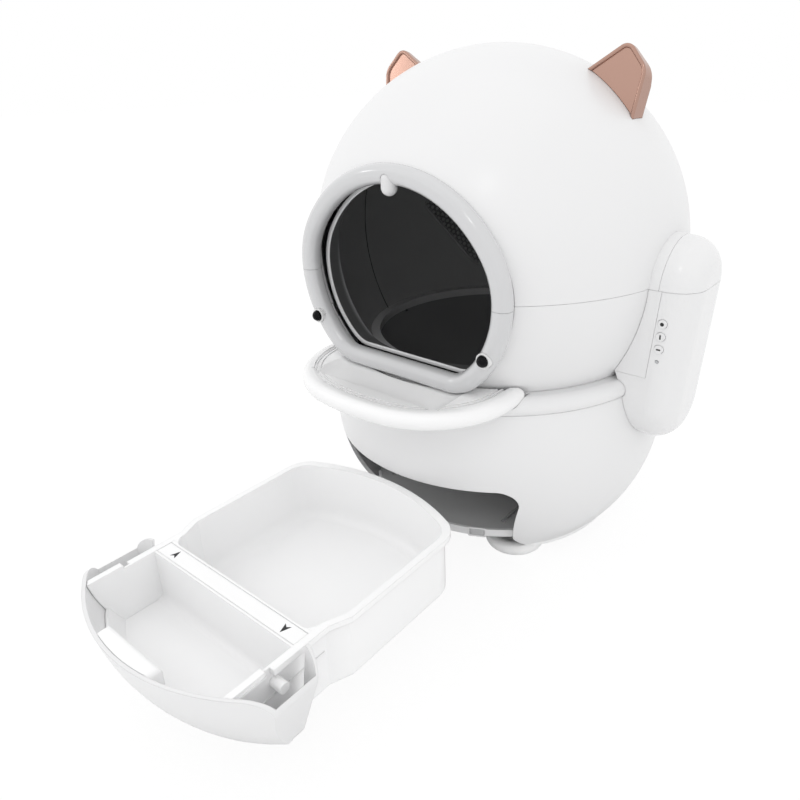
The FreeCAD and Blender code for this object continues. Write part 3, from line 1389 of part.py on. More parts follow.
def main():
    """Build every piece, check it and write it out."""
    housing_shells()
    belt_moulding()
    front_step()
    entrance_ring()
    sensor(1, "right")
    sensor(-1, "left")
    keep("ear_right", ear(1))
    keep("ear_left", ear(-1))
    pods()
    drum_shells()
    drum_band("drum_track_front", "front_track_place", -1, "dims.dome_radius - dims.drum_inset - dims.front_track_inset")
    drum_band("drum_track_rear", "rear_track_place", 1, "dims.dome_radius - dims.drum_inset + dims.rear_track_stand")
    gears()
    drive()
    drum_lining()
    cradle("cradle_front", FRONT_TRACK, -size("front_track_place"))
    cradle("cradle_rear", REAR_TRACK, size("rear_track_place"))
    rollers()
    base_plate()
    foot_pads()
    bay_floor()
    sill_lip()
    bay_roof()
    waste_chute()
    bay_rail("right", 1)
    bay_rail("left", -1)
    drawer_tray()
    drawer_head()
    inlet = power_inlet()
    bowl = doc.getObject("base_bowl")
    hole = rod(7.2, inlet - Vector(0, 20, 0), inlet + Vector(0, 20, 0))
    hole.translate(Vector(0, AXIS, 0))
    bowl.Shape = bowl.Shape.cut(hole)
    doc.recompute()
    for item in doc.Objects:
        if "Invalid" in item.State or "Error" in item.State:
            raise RuntimeError(f"{item.Name} failed: {item.State}")
    os.makedirs("parts", exist_ok=True)
    for piece in nodes:
        if piece.Shape.isNull() or not piece.Shape.isValid():
            raise RuntimeError(f"{piece.Label} has no sound shape")
        piece.Shape.exportStep(f"parts/{piece.Label}.step")
        box = piece.Shape.BoundBox
        print(f"{piece.Label}: {len(piece.Shape.Solids)} solids, {piece.Shape.Volume / 1000:.1f} cm3, "
              f"y {box.YMin:.1f} to {box.YMax:.1f}, z {box.ZMin:.1f} to {box.ZMax:.1f}")


main()
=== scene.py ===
import logging
import math
from dataclasses import dataclass, replace
from enum import Enum
from typing import ClassVar

import bmesh
import bpy
import numpy as np
from mathutils import Matrix, Vector


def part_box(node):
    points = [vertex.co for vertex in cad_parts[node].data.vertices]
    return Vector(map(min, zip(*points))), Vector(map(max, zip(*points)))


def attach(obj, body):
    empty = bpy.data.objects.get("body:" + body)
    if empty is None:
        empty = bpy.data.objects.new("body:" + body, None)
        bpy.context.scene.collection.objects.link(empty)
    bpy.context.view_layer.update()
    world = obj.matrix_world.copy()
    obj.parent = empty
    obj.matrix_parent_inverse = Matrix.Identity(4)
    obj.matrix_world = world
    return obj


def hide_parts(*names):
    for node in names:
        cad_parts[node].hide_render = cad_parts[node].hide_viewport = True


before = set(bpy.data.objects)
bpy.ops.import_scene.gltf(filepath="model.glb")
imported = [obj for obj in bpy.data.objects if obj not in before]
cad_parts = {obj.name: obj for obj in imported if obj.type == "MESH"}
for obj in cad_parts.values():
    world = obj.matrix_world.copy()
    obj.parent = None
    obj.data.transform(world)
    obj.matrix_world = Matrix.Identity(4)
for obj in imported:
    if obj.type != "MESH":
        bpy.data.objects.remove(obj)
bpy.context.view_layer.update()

LOG = logging.getLogger("litter_box")
NodeSocket = bpy.types.NodeSocket
NodeTree = bpy.types.NodeTree
Points = np.ndarray
Triple = tuple[float, float, float]
X, Y, Z = range(3)
MERGE_DISTANCE = 1e-6


class Light(Enum):
    """Kinds of studio light by the width of their panel, in metres."""

    KEY = 2.4
    FILL = 2.0
    TOP = 2.2
    SPARK = 0.4


class Socket(Enum):
    """Kinds of group socket."""

    NUMBER = "NodeSocketFloat"
    VECTOR = "NodeSocketVector"


class Body(Enum):
    """Bodies of the machine that the new pieces ride on, apart from the buttons."""

    HOUSING = "housing"
    DRUM = "drum"
    DRAWER = "drawer"


class Side(Enum):
    """Sides of the machine, by the sign of X."""

    RIGHT = 1
    LEFT = -1


class Mark(Enum):
    """Plain signs printed on the buttons: half width, half height and power of a superellipse."""

    DISC = (1.0, 1.0, 2.0)
    DASH = (1.25, 0.42, 5.0)
    BAR = (0.42, 1.15, 5.0)


# Effects shared by the finishes


class NodeMaker:
    """Ways of adding nodes to one node tree."""

    def __init__(self, tree: NodeTree) -> None:
        """Keeps the tree that the nodes go into."""
        self.tree = tree

    def feed(self, target: NodeSocket, value: object) -> None:
        """Links a socket to an input, or sets the input's constant.

        Args:
            target: the input.
            value: a socket, a number, three numbers, or a colour, whose alpha is added here.
        """
        if isinstance(value, NodeSocket):
            self.tree.links.new(value, target)
        else:
            target.default_value = (*value, 1.0) if target.type == "RGBA" else value

    def node(self, kind: str, inputs: dict[int | str, object] | None = None,
             **settings: object) -> bpy.types.Node:
        """Adds a node.

        Args:
            kind: type of the node.
            inputs: a socket or a constant for each of its inputs, by number or name.
            settings: its plain settings, which are made first.

        Returns:
            The node.
        """
        made = self.tree.nodes.new(kind)
        for key, value in settings.items():
            setattr(made, key, value)
        for key, value in (inputs or {}).items():
            self.feed(made.inputs[key], value)
        return made

    def maths(self, operation: str, first: object, second: object,
              clamp: bool = False) -> NodeSocket:
        """Adds a math node.

        Args:
            operation: name of the operation.
            first: a socket or a number.
            second: a socket or a number.
            clamp: keeps the result between 0 and 1.

        Returns:
            The node's result.
        """
        numbers = {0: first, 1: second}
        made = self.node("ShaderNodeMath", numbers, operation=operation, use_clamp=clamp)
        return made.outputs[0]

    def ramp(self, value: NodeSocket, low: float, high: float) -> NodeSocket:
        """Smooth step of a number.

        Args:
            value: the number.
            low: where the result is 0.
            high: where the result is 1.

        Returns:
            The stepped number.
        """
        limits = {"From Min": low, "From Max": high, "Value": value}
        made = self.node("ShaderNodeMapRange", limits, interpolation_type="SMOOTHSTEP")
        return made.outputs["Result"]

    def place(self, *stretch: float) -> NodeSocket:
        """Object coordinates.

        Args:
            stretch: nothing, or a factor for each of X, Y and Z.

        Returns:
            The coordinates.
        """
        here = self.node("ShaderNodeTexCoord").outputs["Object"]
        if stretch:
            mapping = self.node("ShaderNodeMapping", {"Vector": here, "Scale": stretch})
            here = mapping.outputs["Vector"]
        return here

    def noise(self, place: NodeSocket, scale: object, detail: float) -> NodeSocket:
        """Noise around one half.

        Args:
            place: the coordinates it is read at.
            scale: a socket or a number.
            detail: how many finer noises are added.

        Returns:
            The noise.
        """
        inputs = {"Vector": place, "Scale": scale, "Detail": detail}
        return self.node("ShaderNodeTexNoise", inputs).outputs["Fac"]


class Effect(NodeMaker):
    """A shader node group with named numbers going in and masks, values or normals coming out."""

    def __init__(self, name: str, inputs: dict[str, float], outputs: dict[str, Socket]) -> None:
        """Makes the empty group with its sockets.

        Args:
            name: name of the group.
            inputs: names and usual values of the numbers that go in.
            outputs: names and kinds of what comes out.
        """
        super().__init__(bpy.data.node_groups.new(name, "ShaderNodeTree"))
        sockets = self.tree.interface
        for key, value in inputs.items():
            socket = sockets.new_socket(key, in_out="INPUT", socket_type=Socket.NUMBER.value)
            socket.default_value = value
        for key, kind in outputs.items():
            sockets.new_socket(key, in_out="OUTPUT", socket_type=kind.value)
        self.entry = self.node("NodeGroupInput")

    def given(self, name: str) -> NodeSocket:
        """A number that goes in."""
        return self.entry.outputs[name]

    def finish(self, *results: NodeSocket) -> NodeTree:
        """Sends the results out in order and returns the group."""
        self.node("NodeGroupOutput", dict(enumerate(results)))
        return self.tree


def tone_effect() -> NodeTree:
    """Slow cloudy change of tone, as thick mouldings show it: noise around 1.

    Returns:
        The node group.
    """
    effect = Effect("cloudy_tone", {"Scale": 6.0, "Strength": 0.03}, {"Factor": Socket.NUMBER})
    noise = effect.noise(effect.place(), effect.given("Scale"), 2.0)
    centred = effect.maths("SUBTRACT", noise, 0.5)
    swing = effect.maths("MULTIPLY", centred, effect.given("Strength"))
    return effect.finish(effect.maths("ADD", effect.maths("MULTIPLY", swing, 2.0), 1.0))


def grain_effect() -> NodeTree:
    """Fine spark-eroded grain: a noise and a broader, weaker one added as a height.

    Returns:
        The node group.
    """
    broad_scale, broad_share = 0.12, 0.6
    effect = Effect("mould_grain", {"Scale": 900.0, "Depth": 1.0}, {"Height": Socket.NUMBER})
    fine = effect.noise(effect.place(), effect.given("Scale"), 3.0)
    scale = effect.maths("MULTIPLY", effect.given("Scale"), broad_scale)
    broad = effect.noise(effect.place(), scale, 1.0)
    total = effect.maths("ADD", fine, effect.maths("MULTIPLY", broad, broad_share))
    return effect.finish(effect.maths("MULTIPLY", total, effect.given("Depth")))


def smudge_effect() -> NodeTree:
    """Wiped and handled patches: a soft noise cut to patches, with fine streaks inside them.

    Returns:
        The node group.
    """
    patch_low, patch_high, streak_scale, streak_stretch = 0.35, 0.75, 3.0, (1.0, 0.25, 6.0)
    effect = Effect("handling_smudge", {"Scale": 14.0, "Amount": 0.1}, {"Mask": Socket.NUMBER})
    patches = effect.noise(effect.place(), effect.given("Scale"), 4.0)
    scale = effect.maths("MULTIPLY", effect.given("Scale"), streak_scale)
    streaks = effect.noise(effect.place(*streak_stretch), scale, 2.0)
    mixed = effect.maths("MULTIPLY", effect.ramp(patches, patch_low, patch_high), streaks)
    return effect.finish(effect.maths("MULTIPLY", mixed, effect.given("Amount")))


def dust_effect() -> NodeTree:
    """Thin dust on faces that look up: the normal's upward share, sharpened, times a noise.

    Returns:
        The node group.
    """
    sharpness, dust_scale = 3.0, 60.0
    effect = Effect("resting_dust", {"Amount": 0.1}, {"Mask": Socket.NUMBER})
    normal = effect.node("ShaderNodeTexCoord").outputs["Normal"]
    upward = effect.node("ShaderNodeSeparateXYZ", {"Vector": normal}).outputs["Z"]
    settled = effect.maths("POWER", effect.maths("MAXIMUM", upward, 0.0), sharpness)
    mask = effect.maths("MULTIPLY", settled, effect.noise(effect.place(), dust_scale, 6.0))
    return effect.finish(effect.maths("MULTIPLY", mask, effect.given("Amount")))


def edge_effect() -> NodeTree:
    """Soft edges: the normal rounded over a small radius, and a mask of how far it turns.

    Returns:
        The node group.
    """
    turn_low, turn_high = 0.01, 0.2
    outputs = {"Normal": Socket.VECTOR, "Edge": Socket.NUMBER}
    effect = Effect("soft_edge", {"Radius": 0.001}, outputs)
    rounding = effect.node("ShaderNodeBevel", {"Radius": effect.given("Radius")}, samples=4)
    rounded = rounding.outputs["Normal"]
    true = effect.node("ShaderNodeNewGeometry").outputs["Normal"]
    turn = effect.node("ShaderNodeVectorMath", {0: rounded, 1: true}, operation="DOT_PRODUCT")
    away = effect.maths("SUBTRACT", 1.0, turn.outputs["Value"])
    return effect.finish(rounded, effect.ramp(away, turn_low, turn_high))


EFFECTS: dict[str, NodeTree] = {}


def build_effects() -> None:
    """Makes every shared node group once."""
    for maker in (tone_effect, grain_effect, smudge_effect, dust_effect, edge_effect):
        tree = maker()
        EFFECTS[tree.name] = tree


# Materials


def lifted(colour: Triple, lift: float) -> Triple:
    """A colour brightened by a factor, up to white."""
    return tuple(min(1.0, value * lift) for value in colour)


class Paint(NodeMaker):
    """Small builder for one material around a Principled shader."""

    def __init__(self, name: str) -> None:
        """Makes the material with its shader and output.

        Args:
            name: name of the material.
        """
        self.material = bpy.data.materials.new(name)
        self.material.use_nodes = True
        super().__init__(self.material.node_tree)
        self.shader = self.tree.nodes["Principled BSDF"]

    def group(self, name: str, **values: float) -> bpy.types.NodeOutputs:
        """Places a shared effect with numbers for its inputs and returns its outputs."""
        return self.node("ShaderNodeGroup", values, node_tree=EFFECTS[name]).outputs

    def scaled(self, colour: Triple, factor: NodeSocket) -> NodeSocket:
        """Colour times a factor that changes over the surface."""
        inputs = {0: colour, "Scale": factor}
        return self.node("ShaderNodeVectorMath", inputs, operation="SCALE").outputs[0]

    def blend(self, mask: NodeSocket, base: object, over: object) -> NodeSocket:
        """Mixes two colours by a mask.

        Args:
            mask: where the second colour shows.
            base: the first colour or its socket.
            over: the second colour or its socket.

        Returns:
            The mixed colour.
        """
        inputs = {"Factor": mask, "A": base, "B": over}
        return self.node("ShaderNodeMix", inputs, data_type="RGBA").outputs["Result"]

    def bump(self, height: NodeSocket, strength: float, distance: float,
             normal: NodeSocket) -> None:
        """Feeds a height into the shader's normal through a bump node.

        Args:
            height: the height over the surface.
            strength: share of the bump that shows.
            distance: real height of a full step, in metres.
            normal: the normal that the bump starts from.
        """
        inputs = {"Strength": strength, "Distance": distance, "Height": height, "Normal": normal}
        self.set(Normal=self.node("ShaderNodeBump", inputs).outputs["Normal"])

    def set(self, **values: object) -> None:
        """Sets or links inputs of the shader, named with underscores for blanks."""
        for key, value in values.items():
            self.feed(self.shader.inputs[key.replace("_", " ")], value)


@dataclass(frozen=True)
class Moulding:
    """Moulded plastic, plain or plated, or rubber, with worn edges, grain, wiping, dust and painted
    shade.
    """

    name: str
    colour: Triple
    roughness: float
    tone: float = 0.02
    tone_scale: float = 5.0
    grain: float = 0.1
    grain_scale: float = 900.0
    grain_height: float = 0.0004
    smudge: float = 0.03
    smudge_scale: float = 7.0
    dust: float = 0.03
    dust_colour: Triple = (0.75, 0.74, 0.72)
    coat: float = 0.0
    coat_roughness: float = 0.06
    edge: float = 0.0009
    edge_lift: float = 1.04
    edge_share: float = 0.6
    edge_roughness: float = 0.05
    specular: float = 0.5
    metallic: float = 0.0
    mouth_shade: float = 0.0
    mouth_back: float = 0.012
    mouth_front: float = 0.003

    def make(self) -> bpy.types.Material:
        """Builds the material.

        Returns:
            The material.
        """
        paint = Paint(self.name)
        tone = paint.group("cloudy_tone", Scale=self.tone_scale, Strength=self.tone)[0]
        dust = paint.group("resting_dust", Amount=self.dust)[0]
        edge = paint.group("soft_edge", Radius=self.edge)
        smudge = paint.group("handling_smudge", Scale=self.smudge_scale, Amount=self.smudge)[0]
        grain = paint.group("mould_grain", Scale=self.grain_scale, Depth=1.0)[0]
        # Painted shade: the colour darkens towards the drum's mouth.
        if self.mouth_shade:
            tone = paint.maths("MULTIPLY", tone, self.shaded_mouth(paint))
        worn = paint.blend(paint.maths("MULTIPLY", edge["Edge"], self.edge_share),
                           paint.scaled(self.colour, tone), lifted(self.colour, self.edge_lift))
        rough = paint.maths("ADD", smudge, self.roughness)
        rubbed = paint.maths("MULTIPLY", edge["Edge"], self.edge_roughness)
        rough = paint.maths("ADD", rough, rubbed)
        paint.bump(grain, self.grain, self.grain_height, edge["Normal"])
        paint.set(Base_Color=paint.blend(dust, worn, self.dust_colour),
                  Roughness=paint.maths("ADD", rough, dust, clamp=True), Coat_Weight=self.coat,
                  Coat_Roughness=self.coat_roughness, Specular_IOR_Level=self.specular,
                  Metallic=self.metallic)
        return paint.material

    def shaded_mouth(self, paint: Paint) -> NodeSocket:
        """Painted shade: darkens the neck of the drum's mouth, ahead of its round wall.

        Args:
            paint: the material that is being built.

        Returns:
            Factor for its colour.
        """
        along = paint.node("ShaderNodeSeparateXYZ", {"Vector": paint.place()}).outputs["Y"]
        ahead = paint.ramp(along, self.mouth_back, self.mouth_front)
        return paint.maths("SUBTRACT", 1.0, paint.maths("MULTIPLY", ahead, self.mouth_shade))


@dataclass(frozen=True)
class Steel:
    """Drawn or brushed steel with streaks along the machine."""

    name: str
    colour: Triple
    roughness: float
    tone: float = 0.08
    edge: float = 0.0005
    streak_scale: float = 900.0
    streak_stretch: Triple = (1.0, 0.03, 1.0)
    streak_roughness: float = 0.2
    streak_bump: float = 0.1
    streak_height: float = 0.0003

    def make(self) -> bpy.types.Material:
        """Builds the material.

        Returns:
            The material.
        """
        paint = Paint(self.name)
        streaks = paint.noise(paint.place(*self.streak_stretch), self.streak_scale, 2.0)
        tone = paint.group("cloudy_tone", Scale=20.0, Strength=self.tone)[0]
        edge = paint.group("soft_edge", Radius=self.edge)
        swing = paint.maths("MULTIPLY", streaks, self.streak_roughness)
        paint.bump(streaks, self.streak_bump, self.streak_height, edge["Normal"])
        paint.set(Base_Color=paint.scaled(self.colour, tone), Metallic=1.0,
                  Roughness=paint.maths("ADD", swing, self.roughness))
        return paint.material


class Finish(Enum):
    """Finishes of the litter box, by the piece they are seen on."""

    SHELL = Moulding("shell_white", (0.79, 0.79, 0.794), 0.3, tone=0.008, grain=0.02, smudge=0.02,
                     dust=0.01, coat=0.05)
    TRIM = replace(SHELL, name="trim_white", roughness=0.24, grain=0.015, coat=0.25)
    # Painted light: a brighter copy of the white trim, standing in for light on the step's top
    # where the ring above shades it.
    STEP = replace(TRIM, name="step_white_painted_light", colour=(0.89, 0.89, 0.892), roughness=0.26, dust=0.0,
                   coat=0.2)
    RING = replace(TRIM, name="ring_grey", colour=(0.6, 0.602, 0.61), roughness=0.14, tone=0.012,
                   grain=0.01, smudge=0.03, coat=0.8)
    PEG = Moulding("peg_white", (0.7, 0.7, 0.705), 0.3, tone=0.015)
    BEZEL = Moulding("bezel_white", (0.8, 0.8, 0.8), 0.25, tone=0.01, grain=0.03)
    LENS = Moulding("sensor_lens", (0.003, 0.003, 0.004), 0.08, tone=0.1, grain=0.0, smudge=0.01,
                    dust=0.0, specular=0.12)
    EAR = Moulding("rose_plating", (0.45, 0.28, 0.225), 0.2, tone=0.05, tone_scale=9.0, grain=0.03,
                   grain_scale=120.0, grain_height=0.0006, smudge=0.06, smudge_scale=30.0,
                   dust=0.0, edge=0.0012, edge_lift=1.25, edge_share=0.5, edge_roughness=0.0,
                   metallic=1.0)
    DRUM = Moulding("drum_grey", (0.27, 0.272, 0.276), 0.42, tone=0.05, grain=0.2,
                    grain_scale=700.0, smudge=0.1, dust=0.05, dust_colour=(0.4, 0.395, 0.39),
                    edge_lift=1.2)
    # Painted shade: the drum's front shell is drawn darker in the neck of its mouth.
    NECK = replace(DRUM, name="drum_front_grey_painted_shade", mouth_shade=0.75)
    LEDGE = replace(DRUM, name="ledge_grey", colour=(0.42, 0.422, 0.426),
                    dust_colour=(0.5, 0.495, 0.49))
    LINER = replace(DRUM, name="liner_dark", colour=(0.15, 0.151, 0.154), roughness=0.5, tone=0.06,
                    grain=0.35, grain_scale=500.0, dust=0.08, dust_colour=(0.2, 0.195, 0.19),
                    edge_lift=1.4)
    CHASSIS = replace(DRUM, name="chassis_grey", colour=(0.5, 0.502, 0.505), roughness=0.5,
                      grain=0.3, grain_scale=600.0, dust=0.08)
    SIEVE = Moulding("sieve_black", (0.12, 0.12, 0.122), 0.36, tone=0.06, grain=0.15, smudge=0.1,
                     dust=0.05, dust_colour=(0.2, 0.2, 0.19), edge=0.0004, edge_lift=1.8)
    SEAL = Moulding("seal_rubber", (0.02, 0.02, 0.02), 0.6, tone=0.08, grain=0.4,
                    grain_scale=420.0, dust=0.15, dust_colour=(0.2, 0.2, 0.19), edge_lift=1.5)
    ACETAL = Moulding("running_white", (0.55, 0.55, 0.54), 0.38, tone=0.03, smudge=0.2, dust=0.1)
    STEEL = Steel("bright_steel", (0.58, 0.58, 0.59), 0.28)
    ZINC = Steel("zinc_screw", (0.5, 0.5, 0.52), 0.3)
    CAN = Moulding("motor_black", (0.03, 0.03, 0.032), 0.4, tone=0.08, grain=0.15, smudge=0.2,
                   dust=0.12, edge_lift=2.0)
    RAIL = Moulding("rail_grey", (0.5, 0.5, 0.505), 0.45, tone=0.04, grain=0.2, smudge=0.1,
                    dust=0.08, dust_colour=(0.5, 0.5, 0.49), edge_lift=1.15)
    TRAY = Moulding("tray_white", (0.92, 0.92, 0.922), 0.36, tone=0.01, grain=0.04, smudge=0.04,
                    dust=0.01, coat=0.2, edge=0.0016)
    FOOT = Moulding("foot_white", (0.92, 0.92, 0.92), 0.4, smudge=0.05)
    PAD = Moulding("pad_rubber", (0.05, 0.05, 0.05), 0.7, tone=0.1, grain=0.5, grain_scale=380.0,
                   dust=0.1, edge_lift=1.5)
    BOARD = Moulding("board_green", (0.01, 0.09, 0.035), 0.35, tone=0.1, grain=0.05, smudge=0.1,
                     edge=0.0003)
    LAMP = Moulding("lamp_lens", (0.45, 0.46, 0.47), 0.12, tone=0.05, grain=0.0, smudge=0.02,
                    coat=1.0, edge=0.0003)
    INK = Moulding("print_black", (0.015, 0.015, 0.016), 0.45, tone=0.1, smudge=0.05, dust=0.0,
                   edge=0.0001, edge_lift=1.5)


Nodes = dict[Finish, tuple[str, ...]]
MATERIALS: dict[Finish, bpy.types.Material] = {}


def material(finish: Finish) -> bpy.types.Material:
    """Finds the material of a finish, and makes it the first time it is asked for.

    Args:
        finish: the finish.

    Returns:
        Its material.
    """
    if finish not in MATERIALS:
        MATERIALS[finish] = finish.value.make()
    return MATERIALS[finish]


# Shapes


def within(node: str, axis: int, share: float = 0.5) -> float:
    """Place along one axis at a share of the way through a CAD node's box, or at its middle."""
    low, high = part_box(node)
    return float((1.0 - share) * low[axis] + share * high[axis])


AXIS = within("foot_pads", Y)


def around(count: int) -> Points:
    """Angles evenly spread over one full turn."""
    return np.linspace(0.0, 2 * math.pi, count, endpoint=False)


def smooth(mesh: bpy.types.Mesh) -> None:
    """Shades every face of a mesh smooth."""
    mesh.polygons.foreach_set("use_smooth", np.ones(len(mesh.polygons), dtype=bool))


def grid_quads(rows: int, columns: int, closed: bool, copies: int) -> np.ndarray:
    """Corner numbers of the quads of grids whose points are numbered row by row.

    Args:
        rows: number of rows of points in a grid.
        columns: number of points in a row, whose last is joined to its first.
        closed: joins the last row to the first.
        copies: number of grids.

    Returns:
        Four corner numbers for each quad.
    """
    row = np.arange(rows if closed else rows - 1)[:, None]
    column = np.arange(columns)[None, :]
    next_row, next_column = (row + 1) % rows, (column + 1) % columns
    corners = (row * columns + column, next_row * columns + column,
               next_row * columns + next_column, row * columns + next_column)
    quads = np.stack(corners, axis=-1).reshape(-1, 4)
    first = (np.arange(copies) * rows * columns)[:, None, None]
    return (quads[None] + first).reshape(-1, 4)


def add_piece(name: str, points: Points, finish: Finish, body: str,
              closed: bool = False) -> bpy.types.Object:
    """Makes an object of quads, closes its poles, turns its faces outwards and dresses it.

    Args:
        name: name of the piece.
        points: one or more grids, rows by columns by three, in metres.
        finish: finish of the whole piece.
        body: name of the body that it rides on.
        closed: joins a grid's last row to its first.

    Returns:
        The object.
    """
    rows, columns = points.shape[-3:-1]
    flat = points.reshape(-1, 3)
    quads = grid_quads(rows, columns, closed, len(flat) // (rows * columns))
    mesh = bpy.data.meshes.new(name)
    mesh.from_pydata(flat.tolist(), [], quads.tolist())
    work = bmesh.new()
    work.from_mesh(mesh)
    bmesh.ops.remove_doubles(work, verts=work.verts, dist=MERGE_DISTANCE)
    bmesh.ops.recalc_face_normals(work, faces=work.faces)
    work.to_mesh(mesh)
    work.free()
    smooth(mesh)
    mesh.materials.append(material(finish))
    piece = bpy.data.objects.new(name, mesh)
    bpy.context.scene.collection.objects.link(piece)
    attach(piece, body)
    LOG.info("%s made, %d faces", name, len(mesh.polygons))
    return piece


def add_copies(name: str, grid: Points, places: list[Triple], direction: Triple, finish: Finish,
               body: str, square_to: Triple = (1.0, 0.0, 0.0)) -> bpy.types.Object:
    """Makes one piece of equal small parts that face the same way.

    Each point is the place plus the grid's point turned so that the third axis points along the
    direction, the first is square to it and to one more vector, and the second to both.

    Args:
        name: name of the piece.
        grid: the small part about its own origin.
        places: where each one sits, in metres.
        direction: where the parts' third axis points.
        finish: finish of the piece.
        body: name of the body that it rides on.
        square_to: the vector that the first axis is square to.

    Returns:
        The object.
    """
    third = np.array(direction, dtype=float)
    third /= np.linalg.norm(third)
    first = np.cross(square_to, third)
    first /= np.linalg.norm(first)
    turned = grid @ np.stack((first, np.cross(third, first), third))
    points = np.array(places, dtype=float)[:, None, None, :] + turned
    return add_piece(name, points, finish, body)


def screw_head(radius: float, height: float) -> Points:
    """Pan head with a cross recess.

    Height over the seat = height times (1 - (r/R)^4)^0.5, less a cross of two slots that fade out
    towards the rim; the outermost ring runs down under the seat and back to the axis.

    Args:
        radius: radius of the head.
        height: height of the head over its seat.

    Returns:
        Rows from the axis outwards and under, columns around.
    """
    slot_width, slot_edge, slot_depth, slot_end, slot_fade = 0.1, 1.6, 0.6, 0.66, 0.2
    under = -0.0004
    reach = np.linspace(0.0, 1.0, 14)[:, None] * radius
    turn = around(48)[None, :]
    across, along = reach * np.cos(turn), reach * np.sin(turn)
    crown = height * np.sqrt(np.clip(1.0 - (reach / radius) ** 4, 0.0, 1.0))
    beside = np.minimum(np.abs(across), np.abs(along)) / (slot_width * radius)
    slot = np.clip(slot_edge - beside, 0.0, 1.0)
    fade = np.clip((slot_end * radius - reach) / (slot_fade * radius), 0.0, 1.0)
    top = np.broadcast_to(crown, across.shape) - slot_depth * height * slot * fade
    face = np.stack((across, along, top), axis=-1)
    depth = np.full(turn.shape, under)
    skirt = np.stack((radius * np.cos(turn), radius * np.sin(turn), depth), axis=-1)
    foot = np.stack((0 * turn, 0 * turn, depth), axis=-1)
    return np.concatenate((face, skirt, foot), axis=0)


def lathe(profile: Points, spokes: int = 96) -> Points:
    """Carries a profile around an axis: (reach cos t, reach sin t, height).

    Args:
        profile: reach and height of each point.
        spokes: points around the axis.

    Returns:
        Rows along the profile, columns around.
    """
    turn = around(spokes)[None, :]
    reach = profile[:, :1]
    height = np.broadcast_to(profile[:, 1:], (len(profile), spokes))
    return np.stack((reach * np.cos(turn), reach * np.sin(turn), height), axis=-1)


def ring_bead(reach: float, bead: float, steps: int, spokes: int = 96) -> Points:
    """Round bead around an axis: the profile (reach + bead cos t, bead sin t), carried around.

    Args:
        reach: radius of the ring.
        bead: radius of the bead.
        steps: points of the profile, whose last is its first.
        spokes: points around the ring.

    Returns:
        Rows over the bead, columns around.
    """
    turn = np.linspace(0.0, 2 * math.pi, steps)
    profile = np.stack((reach + bead * np.cos(turn), bead * np.sin(turn)), axis=1)
    return lathe(profile, spokes)


def rounded_section(width: float, height: float, corner: float, steps: int = 6) -> Points:
    """Rounded rectangle about the origin: quarter arcs of one radius around four middles.

    Args:
        width: size along the first number.
        height: size along the second.
        corner: radius of the corners.
        steps: points in each arc.

    Returns:
        The corners of the closed section.
    """
    turn = np.linspace(0.0, math.pi / 2, steps)
    arcs = []
    for number, sign in enumerate(((1, 1), (-1, 1), (-1, -1), (1, -1))):
        middle = np.array(sign) * np.array((width / 2 - corner, height / 2 - corner))
        angle = turn + number * math.pi / 2
        arcs.append(middle + corner * np.stack((np.cos(angle), np.sin(angle)), axis=1))
    return np.concatenate(arcs)


def bordered(outline: Points, section: Points) -> Points:
    """Carries the first number of a section along a closed flat outline.

    Point = outline + first section number times the unit normal, which is the chord between the
    two neighbouring points turned outwards by a right angle.

    Args:
        outline: points of the outline, two numbers each, anticlockwise.
        section: corners of the closed section.

    Returns:
        Rows along the outline, columns around the section, two numbers each.
    """
    ahead = np.roll(outline, -1, axis=0) - np.roll(outline, 1, axis=0)
    away = np.stack((ahead[:, 1], -ahead[:, 0]), axis=1)
    away /= np.linalg.norm(away, axis=1, keepdims=True)
    return outline[:, None, :] + section[None, :, :1] * away[:, None, :]


def spread(corners: Points, count: int) -> Points:
    """Spaces points evenly on each straight run of a closed flat outline.

    Args:
        corners: ends of the runs, two numbers each.
        count: points on each run, its first corner among them.

    Returns:
        The points.
    """
    share = np.linspace(0.0, 1.0, count, endpoint=False)[None, :, None]
    ahead = np.roll(corners, -1, axis=0)
    return (corners[:, None, :] * (1 - share) + ahead[:, None, :] * share).reshape(-1, 2)


def flat_sign(outline: Points, depth: float) -> Points:
    """Thin printed sign: an outline raised from just under the surface to a depth above it.

    Rows run from the middle of the underside to its edge, up, and back to the middle of the top.

    Args:
        outline: points of the outline, two numbers each.
        depth: height above the surface.

    Returns:
        Rows by columns by three.
    """
    middle = outline.mean(axis=0)
    rows = []
    for share, height in ((0.0, -depth), (1.0, -depth), (1.0, depth), (0.5, depth), (0.0, depth)):
        flat = middle + share * (outline - middle)
        rows.append(np.concatenate((flat, np.full((len(outline), 1), height)), axis=1))
    return np.stack(rows)


# Sub-assemblies


@dataclass
class Assembly:
    """CAD nodes with their finishes, and the sizes of the pieces that are added to them."""

    nodes: ClassVar[Nodes] = {}

    def add(self) -> None:
        """Adds the new pieces, of which a plain assembly has none."""

    def build(self) -> None:
        """Gives the CAD nodes their finishes and adds the new pieces."""
        for finish, names in self.nodes.items():
            for node in names:
                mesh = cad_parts[node].data
                mesh.materials.clear()
                mesh.materials.append(material(finish))
                smooth(mesh)
                LOG.info("%s dressed", node)
        self.add()


